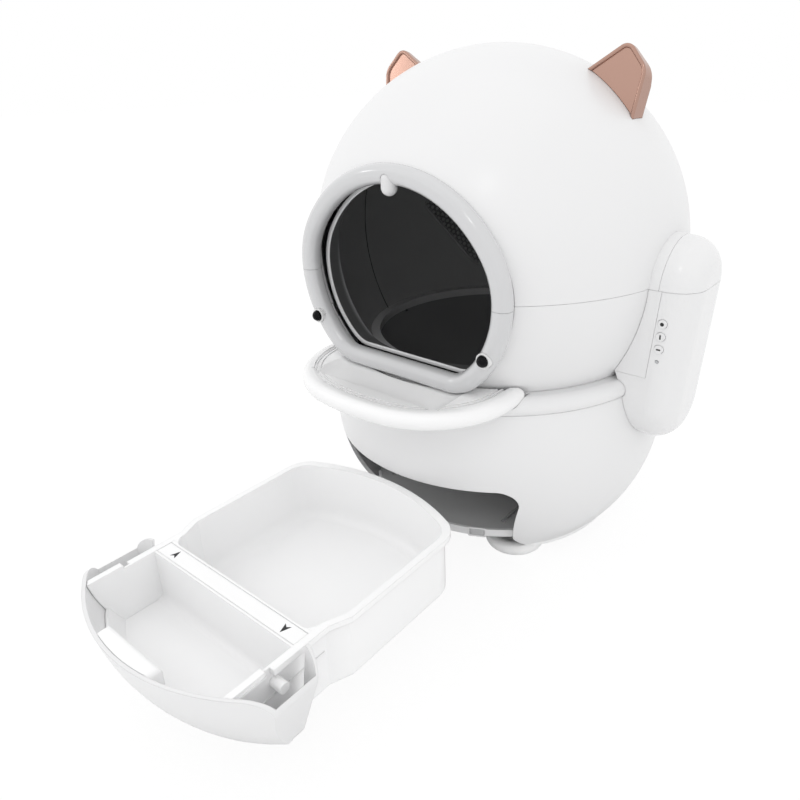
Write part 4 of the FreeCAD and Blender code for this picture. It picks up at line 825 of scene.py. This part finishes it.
@dataclass
class Housing(Assembly):
    """Ball, bowl, belt, step and ears, with the socket's collar and the lip's catches."""

    inlet_height: float = 0.097
    collar_radius: float = 0.0105
    collar_bead: float = 0.0014
    collar_sink: float = 0.0016
    lip_radius: float = 0.1942
    catch_turn: float = 25.8
    catch_width: float = 0.0235
    catch_height: float = 0.0125
    catch_corner: float = 0.0015
    catch_frame: float = 0.0022
    catch_edge: float = 0.0006
    catch_back: float = 0.0003
    nodes: ClassVar[Nodes] = {
        Finish.SHELL: ("dome_shell", "lower_shell", "base_bowl"),
        Finish.TRIM: ("belt_moulding", "sill_lip"),
        Finish.STEP: ("front_step",),
        Finish.EAR: ("ear_right", "ear_left"),
        Finish.CHASSIS: ("power_inlet",),
    }

    def inlet_collar(self) -> None:
        """Rolled collar around the power socket."""
        place = (0.0, within("power_inlet", Y, 1.0) - self.collar_sink, self.inlet_height)
        add_copies("inlet_collar", ring_bead(self.collar_radius, self.collar_bead, 24), [place],
                   (0, 1, 0), Finish.CHASSIS, Body.HOUSING.value)

    def on_lip(self, side: Side, plan: Points, proud: Points) -> Points:
        """Wraps a flat plan (u, v) on the lip's face: (R sin(b + u/R), -R cos(b + u/R), v).

        Args:
            side: which catch it belongs to.
            plan: points of two numbers about the catch's middle.
            proud: how far each point stands out from the radius R.

        Returns:
            Places in metres.
        """
        turn = side.value * math.radians(self.catch_turn) + plan[..., 0] / self.lip_radius
        reach = self.lip_radius + proud
        height = within("sill_lip", Z) + plan[..., 1]
        return np.stack((reach * np.sin(turn), AXIS - reach * np.cos(turn), height), axis=-1)

    def sill_catches(self) -> None:
        """Raised frame around each catch recess of the lip, and a grey plate behind it as painted
        shade in the recess.
        """
        outline = rounded_section(self.catch_width, self.catch_height, self.catch_corner, 8)
        section = rounded_section(self.catch_frame, self.catch_frame, self.catch_edge, 4)
        border = bordered(outline, section)
        plate = flat_sign(outline, self.catch_back)
        for side in Side:
            name, body = side.name.lower(), Body.HOUSING.value
            add_piece(f"sill_catch_{name}", self.on_lip(side, border, section[None, :, 1]),
                      Finish.TRIM, body, closed=True)
            # Grey plate: painted shade inside the catch recess.
            add_piece(f"sill_catch_painted_shade_{name}", self.on_lip(side, plate, plate[..., 2]),
                      Finish.RAIL, body)

    def add(self) -> None:
        """Adds the collar and the catches."""
        self.inlet_collar()
        self.sill_catches()


@dataclass
class EntranceRing(Assembly):
    """Ring around the entrance with its peg and sensors."""

    nodes: ClassVar[Nodes] = {
        Finish.RING: ("ring_upper", "ring_lower"),
        Finish.PEG: ("entrance_nub",),
        Finish.BEZEL: ("sensor_bezel_right", "sensor_bezel_left"),
        Finish.LENS: ("sensor_dome_right", "sensor_dome_left"),
    }


@dataclass
class SidePods(Assembly):
    """Both pods, the buttons with their signs, the lamp and the board."""

    sign_size: float = 0.0024
    sign_depth: float = 0.00006
    nodes: ClassVar[Nodes] = {
        Finish.TRIM: ("pod_cap_right", "pod_cap_left", "pod_neck_right", "pod_neck_left",
                      "pod_housing_right", "pod_housing_left", "button_manual", "button_auto",
                      "button_clean"),
        Finish.BOARD: ("control_board",),
        Finish.LAMP: ("status_lamp",),
    }
    marks: ClassVar[dict[str, Mark]] = {
        "button_manual": Mark.DISC, "button_auto": Mark.DASH, "button_clean": Mark.BAR}

    def outline(self, mark: Mark) -> Points:
        """Outline of a sign with half sizes a and b and power p.

        The superellipse is (a sgn(cos t) |cos t|^(2/p), b sgn(sin t) |sin t|^(2/p)).

        Args:
            mark: which sign.

        Returns:
            Points of the outline.
        """
        half_width, half_height, power = mark.value
        waves = np.stack((np.cos(around(48)), np.sin(around(48))), axis=1)
        curve = np.sign(waves) * np.abs(waves) ** (2.0 / power)
        return self.sign_size * np.array((half_width, half_height)) * curve

    def signs(self) -> None:
        """Prints a plain sign on the face of each button."""
        for node, mark in self.marks.items():
            place = (within(node, X), within(node, Y, 0.0), within(node, Z))
            add_copies(f"{node}_sign", flat_sign(self.outline(mark), self.sign_depth), [place],
                       (0, -1, 0), Finish.INK, node)

    def add(self) -> None:
        """Prints the signs."""
        self.signs()


@dataclass
class Drum(Assembly):
    """Turning drum with its mouth bead, lining, ledge, tracks, seam and perforated sieve."""

    middle: float = 0.42
    wall_radius: float = 0.2290
    sieve_wall: float = 0.0024
    sieve_half_width: float = 0.043
    sieve_half_length: float = 0.075
    sieve_bearing: float = 138.0
    sieve_tilt: float = 38.7
    sieve_drop: float = 0.016
    sieve_pitch: float = 0.0084
    sieve_hole: float = 0.0030
    sieve_rows: int = 12
    sieve_columns: int = 8
    frame_width: float = 0.0036
    frame_proud: float = 0.0004
    frame_corner: float = 0.008
    frame_edge: float = 0.0008
    mouth_half: float = 0.1652
    mouth_rise: float = 0.1424
    mouth_drop: float = 0.1255
    mouth_shoulder: float = 0.114
    mouth_flank: float = 0.147
    mouth_corner: float = 0.058
    mouth_inset: float = 0.0205
    mouth_height: float = 0.409
    bead_back: float = 0.0002
    bead_width: float = 0.0058
    bead_depth: float = 0.0030
    bead_edge: float = 0.00145
    seam_bead: float = 0.0006
    mark_size: float = 0.0045
    mark_depth: float = 0.0001
    mark_bearing: float = 182.7
    mark_height: float = 0.2795
    liner_radius: float = 0.2264
    nodes: ClassVar[Nodes] = {
        Finish.DRUM: ("drum_rear_shell",),
        Finish.NECK: ("drum_front_shell",),
        Finish.LEDGE: ("litter_ledge",),
        Finish.LINER: ("litter_liner",),
        Finish.SEAL: ("port_gasket",),
        Finish.ACETAL: ("drum_track_front", "drum_track_rear", "drum_ring_gear"),
    }

    def outline(self) -> tuple[Points, Points]:
        """Middle line of the mouth's bead and its outward directions.

        The outline is the entrance's own: crown, shoulder, flank and corner arcs and a flat sill,
        each arc drawn in towards its own middle. The right half is worked out and mirrored.

        Returns:
            Points and unit directions, in the plane y = 0.
        """
        half, rise, drop = self.mouth_half, self.mouth_rise, self.mouth_drop
        shoulder, flank, corner = self.mouth_shoulder, self.mouth_flank, self.mouth_corner
        crown = ((half - shoulder) ** 2 + rise ** 2 - shoulder ** 2) / (2 * (rise - shoulder))
        corner_side = half - flank + math.sqrt((flank - corner) ** 2 - (corner - drop) ** 2)
        crown_turn = math.atan2(crown - rise, half - shoulder)
        flank_turn = math.atan2(corner - drop, corner_side - (half - flank))
        arcs = ((0.0, rise - crown, crown, math.pi / 2, crown_turn, 24),
                (half - shoulder, 0.0, shoulder, crown_turn, 0.0, 20),
                (half - flank, 0.0, flank, 0.0, flank_turn, 16),
                (corner_side, corner - drop, corner, flank_turn, -math.pi / 2, 16))
        points, outward = [], []
        for across, height, radius, start, end, count in arcs:
            turn = np.linspace(start, end, count)
            away = np.stack((np.cos(turn), np.zeros(count), np.sin(turn)), axis=1)
            points.append(np.array((across, 0.0, height)) + (radius - self.mouth_inset) * away)
            outward.append(away)
        last = points[-1][-1]
        sill = np.linspace(1.0, 0.0, 12)[1:]
        points.append(np.stack((last[X] * sill, 0 * sill, 0 * sill + last[Z]), axis=1))
        outward.append(np.tile((0.0, 0.0, -1.0), (len(sill), 1)))
        right, away = np.concatenate(points), np.concatenate(outward)
        mirror = np.array((-1.0, 1.0, 1.0))
        left, left_away = (right * mirror)[::-1][1:-1], (away * mirror)[::-1][1:-1]
        return np.concatenate((right, left)), np.concatenate((away, left_away))

    def mouth_bead(self) -> None:
        """Rolled white bead around the drum's mouth: a rounded section carried along the outline.

        Point = path + first section number times the outward direction + second along Y.
        """
        path, away = self.outline()
        back = within("drum_mouth_trim", Y) + self.bead_back
        path = path + np.array((0.0, back, self.mouth_height))
        section = rounded_section(self.bead_width, self.bead_depth, self.bead_edge)
        side = section[None, :, :1] * away[:, None, :]
        points = path[:, None, :] + side + section[None, :, 1:] * np.array((0.0, 1.0, 0.0))
        bead = add_piece("mouth_bead", points, Finish.TRIM, Body.DRUM.value, closed=True)
        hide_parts("drum_mouth_trim")

    def on_drum(self, plan: Points, proud: Points | float = 0.0) -> Points:
        """Lays the sieve's flat plan on the drum's inside.

        A point (u, v) becomes (square root of R^2 - u^2 - v^2, u, v), is turned about X by the
        panel's tilt and about Z by its bearing, let down, and drawn out to the radius R again.

        Args:
            plan: points of two numbers.
            proud: how far each point lies outside the radius R.

        Returns:
            Places in metres.
        """
        radius = self.wall_radius + self.sieve_wall / 2
        depth = np.sqrt(radius ** 2 - plan[..., :1] ** 2 - plan[..., 1:] ** 2)
        flat = np.concatenate((depth, plan), axis=-1)
        tilt, bearing = math.radians(-self.sieve_tilt), math.radians(self.sieve_bearing)
        about_x = np.array(((1, 0, 0), (0, math.cos(tilt), -math.sin(tilt)),
                            (0, math.sin(tilt), math.cos(tilt))))
        about_z = np.array(((math.cos(bearing), -math.sin(bearing), 0),
                            (math.sin(bearing), math.cos(bearing), 0), (0, 0, 1)))
        turned = flat @ (about_z @ about_x).T - np.array((0.0, 0.0, self.sieve_drop))
        turned *= (radius + proud) / np.linalg.norm(turned, axis=-1, keepdims=True)
        return turned + np.array((0.0, AXIS, self.middle))

    def sieve_panel(self) -> None:
        """Perforated panel: a cell with a round hole, repeated in staggered rows on the drum.

        A cell's quads run from points of its hexagon to points of its hole at the same angles.
        The hexagon's edge is at the apothem over the cosine of the angle from its nearest side's
        middle.
        """
        turn = around(18)
        sixth = math.pi / 3
        side = np.mod(turn + sixth / 2, sixth) - sixth / 2
        edge = self.sieve_pitch / 2 / np.cos(side)
        row, column = np.meshgrid(np.arange(-self.sieve_rows, self.sieve_rows + 1),
                                  np.arange(-self.sieve_columns, self.sieve_columns + 1),
                                  indexing="ij")
        across = (column + 0.5 * (row % 2)) * self.sieve_pitch
        along = row * self.sieve_pitch * math.sqrt(3) / 2
        inside = ((np.abs(across) < self.sieve_half_width - self.frame_width)
                  & (np.abs(along) < self.sieve_half_length - self.frame_width))
        middles = np.stack((across[inside], along[inside]), axis=1)
        reach = np.stack((edge, np.full_like(edge, self.sieve_hole)))
        cell = np.stack((reach * np.cos(turn), reach * np.sin(turn)), axis=-1)
        panel = add_piece("sieve_panel", self.on_drum(middles[:, None, None, :] + cell[None]),
                          Finish.SIEVE, Body.DRUM.value)
        wall = panel.modifiers.new("wall", "SOLIDIFY")
        wall.thickness = self.sieve_wall
        wall.offset = 0.0
        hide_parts("sieve_grille")

    def sieve_frame(self) -> None:
        """Frame around the perforated field: a section carried along a rounded rectangle."""
        outline = rounded_section(2 * self.sieve_half_width - self.frame_width,
                                  2 * self.sieve_half_length - self.frame_width,
                                  self.frame_corner, 10)
        section = rounded_section(self.frame_width, self.sieve_wall + self.frame_proud,
                                  self.frame_edge, 4)
        points = self.on_drum(bordered(spread(outline, 6), section), section[None, :, 1:])
        add_piece("sieve_frame", points, Finish.DRUM, Body.DRUM.value, closed=True)

    def seam(self) -> None:
        """Dark joint line between the drum's two shells: a bead around the drum's axis."""
        place = (0.0, within("drum_front_shell", Y, 1.0) - self.seam_bead, self.middle)
        reach = math.sqrt(self.wall_radius ** 2 - (place[Y] - AXIS) ** 2)
        add_copies("drum_seam", ring_bead(reach, self.seam_bead, 10, 240), [place], (0, 1, 0),
                   Finish.SEAL, Body.DRUM.value)

    def level_mark(self) -> None:
        """Small triangle printed on the liner under the ledge as the litter's fill mark."""
        turn = np.radians((90.0, 210.0, 330.0))
        corners = self.mark_size * np.stack((np.cos(turn), np.sin(turn)), axis=1)
        bearing = math.radians(self.mark_bearing)
        reach = math.sqrt(self.liner_radius ** 2 - (self.mark_height - self.middle) ** 2)
        place = (reach * math.cos(bearing), AXIS + reach * math.sin(bearing), self.mark_height)
        inward = np.array((0.0, AXIS, self.middle)) - place
        add_copies("level_mark", flat_sign(spread(corners, 8), self.mark_depth), [place],
                   inward, Finish.INK, Body.DRUM.value, square_to=(0.0, 0.0, 1.0))

    def add(self) -> None:
        """Adds the bead, the sieve, the seam and the mark."""
        self.mouth_bead()
        self.sieve_panel()
        self.sieve_frame()
        self.seam()
        self.level_mark()


@dataclass
class Drive(Assembly):
    """Cradles, rollers, pinion, motor and their screws."""

    head_radius: float = 0.0036
    head_height: float = 0.0022
    seat: float = 0.003
    bracket_inset: float = 0.006
    strip_shares: tuple[float, ...] = (0.12, 0.4, 0.6, 0.88)
    bracket_shares: tuple[float, ...] = (0.2, 0.8)
    nodes: ClassVar[Nodes] = {
        Finish.CHASSIS: ("cradle_front", "cradle_rear"),
        Finish.ACETAL: ("drive_pinion", "roller_front_right", "roller_front_left",
                        "roller_rear_right", "roller_rear_left"),
        Finish.STEEL: ("pinion_shaft", "roller_axles", "motor_bracket"),
        Finish.CAN: ("gear_motor",),
    }

    def screws(self) -> None:
        """Screws that hold the cradles' foot strips and the motor bracket to the deck."""
        places = [(within(node, X, share), within(node, Y), within(node, Z, 0.0) + self.seat)
                  for node in ("cradle_front", "cradle_rear") for share in self.strip_shares]
        places += [(within("motor_bracket", X, share),
                    within("motor_bracket", Y, 1.0) - self.bracket_inset,
                    within("motor_bracket", Z, 0.0) + self.seat) for share in self.bracket_shares]
        add_copies("deck_screws", screw_head(self.head_radius, self.head_height), places,
                   (0, 0, 1), Finish.ZINC, Body.HOUSING.value)

    def add(self) -> None:
        """Adds the screws."""
        self.screws()


@dataclass
class Base(Assembly):
    """Bottom plate, feet, bay floor, deck, chute and rails."""

    screw_ring: float = 0.158
    screw_seat: float = 0.017
    screw_turns: tuple[float, ...] = (0.0, 40.0, 90.0, 140.0, 180.0, 200.0, 340.0)
    head_radius: float = 0.0042
    head_height: float = 0.0024
    skirt_ring: float = 0.141
    skirt_turns: tuple[float, ...] = (45.0, 135.0, 225.0, 315.0)
    skirt_radius: float = 0.043
    skirt_bore: float = 0.026
    skirt_round: float = 0.009
    skirt_low: float = 0.0008
    skirt_top: float = 0.0205
    chute_seat: float = 0.1575
    chute_inset: float = 0.004
    chute_shares: tuple[float, ...] = (0.15, 0.5, 0.85)
    small_head_radius: float = 0.003
    small_head_height: float = 0.0018
    nodes: ClassVar[Nodes] = {
        Finish.FOOT: ("base_plate",),
        Finish.PAD: ("foot_pads",),
        Finish.CHASSIS: ("bay_floor", "bay_roof", "waste_chute"),
        Finish.RAIL: ("bay_rail_right", "bay_rail_left"),
    }

    def ring(self, radius: float, degrees: tuple[float, ...], height: float) -> list[Triple]:
        """Places at one height on a circle about the machine's axis, at turns in degrees."""
        return [(radius * math.cos(turn), AXIS + radius * math.sin(turn), height)
                for turn in np.radians(degrees)]

    def plate_screws(self) -> None:
        """Screws around the bottom plate, on a circle, heads down."""
        places = self.ring(self.screw_ring, self.screw_turns, self.screw_seat)
        add_copies("plate_screws", screw_head(self.head_radius, self.head_height), places,
                   (0, 0, -1), Finish.ZINC, Body.HOUSING.value)

    def foot_skirts(self) -> None:
        """Round skirt over each foot: a profile with a quarter-round lower edge, carried around."""
        turn = np.linspace(-math.pi / 2, 0.0, 8)
        arc = self.skirt_round * np.stack((np.cos(turn), np.sin(turn)), axis=1)
        edge = arc + (self.skirt_radius - self.skirt_round, self.skirt_low + self.skirt_round)
        inner_top = ((self.skirt_bore, self.skirt_top),)
        profile = np.concatenate((inner_top, ((self.skirt_bore, self.skirt_low),), edge,
                                  ((self.skirt_radius, self.skirt_top),), inner_top))
        add_copies("foot_skirts", lathe(profile), self.ring(self.skirt_ring, self.skirt_turns, 0.0),
                   (0, 0, 1), Finish.FOOT, Body.HOUSING.value)

    def chute_screws(self) -> None:
        """Screws through the chute's flange."""
        across = within("waste_chute", X, 1.0) - self.chute_inset
        places = [(side.value * across, within("waste_chute", Y, share), self.chute_seat)
                  for side in Side for share in self.chute_shares]
        add_copies("chute_screws", screw_head(self.small_head_radius, self.small_head_height),
                   places, (0, 0, 1), Finish.ZINC, Body.HOUSING.value)

    def add(self) -> None:
        """Adds the screws and the skirts."""
        self.plate_screws()
        self.foot_skirts()
        self.chute_screws()


@dataclass
class Drawer(Assembly):
    """Waste drawer with its front, grip and the strip between tub and store."""

    arrow_size: float = 0.0105
    arrow_side: float = 0.094
    arrow_depth: float = 0.00008
    arrow_corners: tuple[tuple[float, float], ...] = (
        (0.0, 0.62), (0.42, -0.48), (0.0, -0.2), (-0.42, -0.48))
    nodes: ClassVar[Nodes] = {
        Finish.SHELL: ("drawer_panel",),
        Finish.TRAY: ("drawer_tray", "divider_strip", "grip_tab"),
    }

    def arrows(self) -> None:
        """Prints a notched arrowhead towards the tub and one towards the store on the strip."""
        strip = "divider_strip"
        place = np.array((self.arrow_side, within(strip, Y), within(strip, Z, 1.0)))
        outline = spread(self.arrow_size * np.array(self.arrow_corners), 8)
        for name, side, sign in (("tub_arrow", Side.LEFT, 1.0), ("store_arrow", Side.RIGHT, -1.0)):
            points = flat_sign(outline * (1.0, sign), self.arrow_depth)
            add_piece(name, points + place * (side.value, 1.0, 1.0), Finish.INK,
                      Body.DRAWER.value)

    def add(self) -> None:
        """Prints the arrows."""
        self.arrows()


# Studio


@dataclass
class Studio:
    """White sweep, soft lamps and the camera."""

    eye: Triple = (0.5539, -0.8309, 0.6533)
    azimuth: float = 38.083
    elevation: float = 22.248
    roll: float = -0.9605
    focal: float = 700.0
    middle: tuple[float, float] = (448.58, 351.33)
    image: float = 800.0
    sensor: float = 36.0
    farthest: float = 100.0
    ambient: float = 1.06
    floor_half: float = 12.0
    floor_white: float = 0.9
    floor_glow: float = 1.02
    floor_seen: float = 0.9
    lamps: ClassVar[tuple[tuple[str, Light, Triple, Triple, float], ...]] = (
        ("key_panel", Light.KEY, (-1.5, -2.0, 2.6), (0.0, 0.0, 0.3), 3.0),
        ("fill_panel", Light.FILL, (2.4, -1.6, 1.4), (0.0, 0.1, 0.3), 0.5),
        ("right_spark", Light.SPARK, (1.0, -2.0, 2.6), (0.0, 0.0, 0.35), 2.6),
        ("left_spark", Light.SPARK, (-2.3, -1.6, 1.5), (0.0, 0.0, 0.35), 2.6),
        ("top_panel", Light.TOP, (0.0, 0.0, 3.0), (0.0, 0.0, 0.2), 3.0),
    )

    def camera(self) -> None:
        """Sets the camera: looks along its azimuth and elevation, rolled about its view line."""
        data = bpy.data.cameras.new("photo_camera")
        data.sensor_width = self.sensor
        data.lens = self.sensor * self.focal / self.image
        data.shift_x = (self.image / 2 - self.middle[0]) / self.image
        data.shift_y = (self.middle[1] - self.image / 2) / self.image
        data.clip_end = self.farthest
        angles = (self.azimuth, self.elevation, self.roll)
        turn, lift, roll = (math.radians(value) for value in angles)
        level = math.cos(lift)
        ahead = Vector((-math.sin(turn) * level, math.cos(turn) * level, -math.sin(lift)))
        right = Vector((math.cos(turn), math.sin(turn), 0.0))
        up = right.cross(ahead)
        tilted_right = math.cos(roll) * right + math.sin(roll) * up
        tilted_up = math.cos(roll) * up - math.sin(roll) * right
        place = Vector(self.eye) + Vector((0.0, AXIS, 0.0))
        turned = Matrix((tilted_right, tilted_up, -ahead)).transposed().to_4x4()
        camera = bpy.data.objects.new("photo_camera", data)
        camera.matrix_world = Matrix.Translation(place) @ turned
        bpy.context.scene.collection.objects.link(camera)
        bpy.context.scene.camera = camera

    def floor(self) -> None:
        """Lays a pale floor that the camera sees as white, with the object's shadow kept."""
        half = self.floor_half
        corners = [(-half, -half, 0), (half, -half, 0), (half, half, 0), (-half, half, 0)]
        mesh = bpy.data.meshes.new("studio_floor")
        mesh.from_pydata(corners, [], [(0, 1, 2, 3)])
        floor = bpy.data.objects.new("studio_floor", mesh)
        bpy.context.scene.collection.objects.link(floor)
        paint = Paint("studio_white")
        paint.set(Base_Color=(self.floor_white,) * 3, Roughness=0.9, Specular_IOR_Level=0.1)
        glow = paint.node("ShaderNodeEmission", {"Strength": self.floor_glow})
        path = paint.node("ShaderNodeLightPath")
        seen = paint.maths("MULTIPLY", path.outputs["Is Camera Ray"], self.floor_seen)
        mix = paint.node("ShaderNodeMixShader", {
            "Fac": seen, 1: paint.shader.outputs["BSDF"], 2: glow.outputs["Emission"]})
        surface = paint.tree.nodes["Material Output"].inputs["Surface"]
        paint.feed(surface, mix.outputs["Shader"])
        mesh.materials.append(paint.material)

    def world(self) -> None:
        """White to the camera and to reflections, a plain level elsewhere."""
        world = bpy.data.worlds.new("studio_world")
        world.use_nodes = True
        bpy.context.scene.world = world
        maker = NodeMaker(world.node_tree)
        path = maker.node("ShaderNodeLightPath").outputs
        seen = maker.maths("MAXIMUM", path["Is Camera Ray"], path["Is Glossy Ray"])
        level = maker.node("ShaderNodeMix", {"Factor": seen, "A": self.ambient, "B": 1.0})
        back = maker.tree.nodes["Background"]
        maker.feed(back.inputs["Color"], (1.0, 1.0, 1.0))
        maker.feed(back.inputs["Strength"], level.outputs["Result"])

    def lamp(self, name: str, kind: Light, place: Triple, aim: Triple, power: float) -> None:
        """Adds one soft panel.

        Args:
            name: name of the lamp.
            kind: kind of panel, which gives its size.
            place: where it stands.
            aim: the point it faces.
            power: its power in watts.
        """
        data = bpy.data.lights.new(name, "AREA")
        data.shape = "SQUARE"
        data.size = kind.value
        data.energy = power
        lamp = bpy.data.objects.new(name, data)
        turned = (Vector(aim) - Vector(place)).to_track_quat("-Z", "Y").to_matrix().to_4x4()
        lamp.matrix_world = Matrix.Translation(place) @ turned
        bpy.context.scene.collection.objects.link(lamp)

    def build(self) -> None:
        """Builds the studio."""
        bpy.context.scene.view_settings.view_transform = "Standard"
        self.camera()
        self.floor()
        self.world()
        for lamp in self.lamps:
            self.lamp(*lamp)


def main() -> None:
    """Builds the studio and the sub-assemblies in order."""
    logging.basicConfig(level=logging.INFO, format="%(name)s: %(message)s")
    Studio().build()
    LOG.info("studio set")
    build_effects()
    for assembly in (Housing(), EntranceRing(), SidePods(), Drum(), Drive(), Base(), Drawer()):
        assembly.build()
        LOG.info("%s done", type(assembly).__name__)


if __name__ == "__main__":
    main()
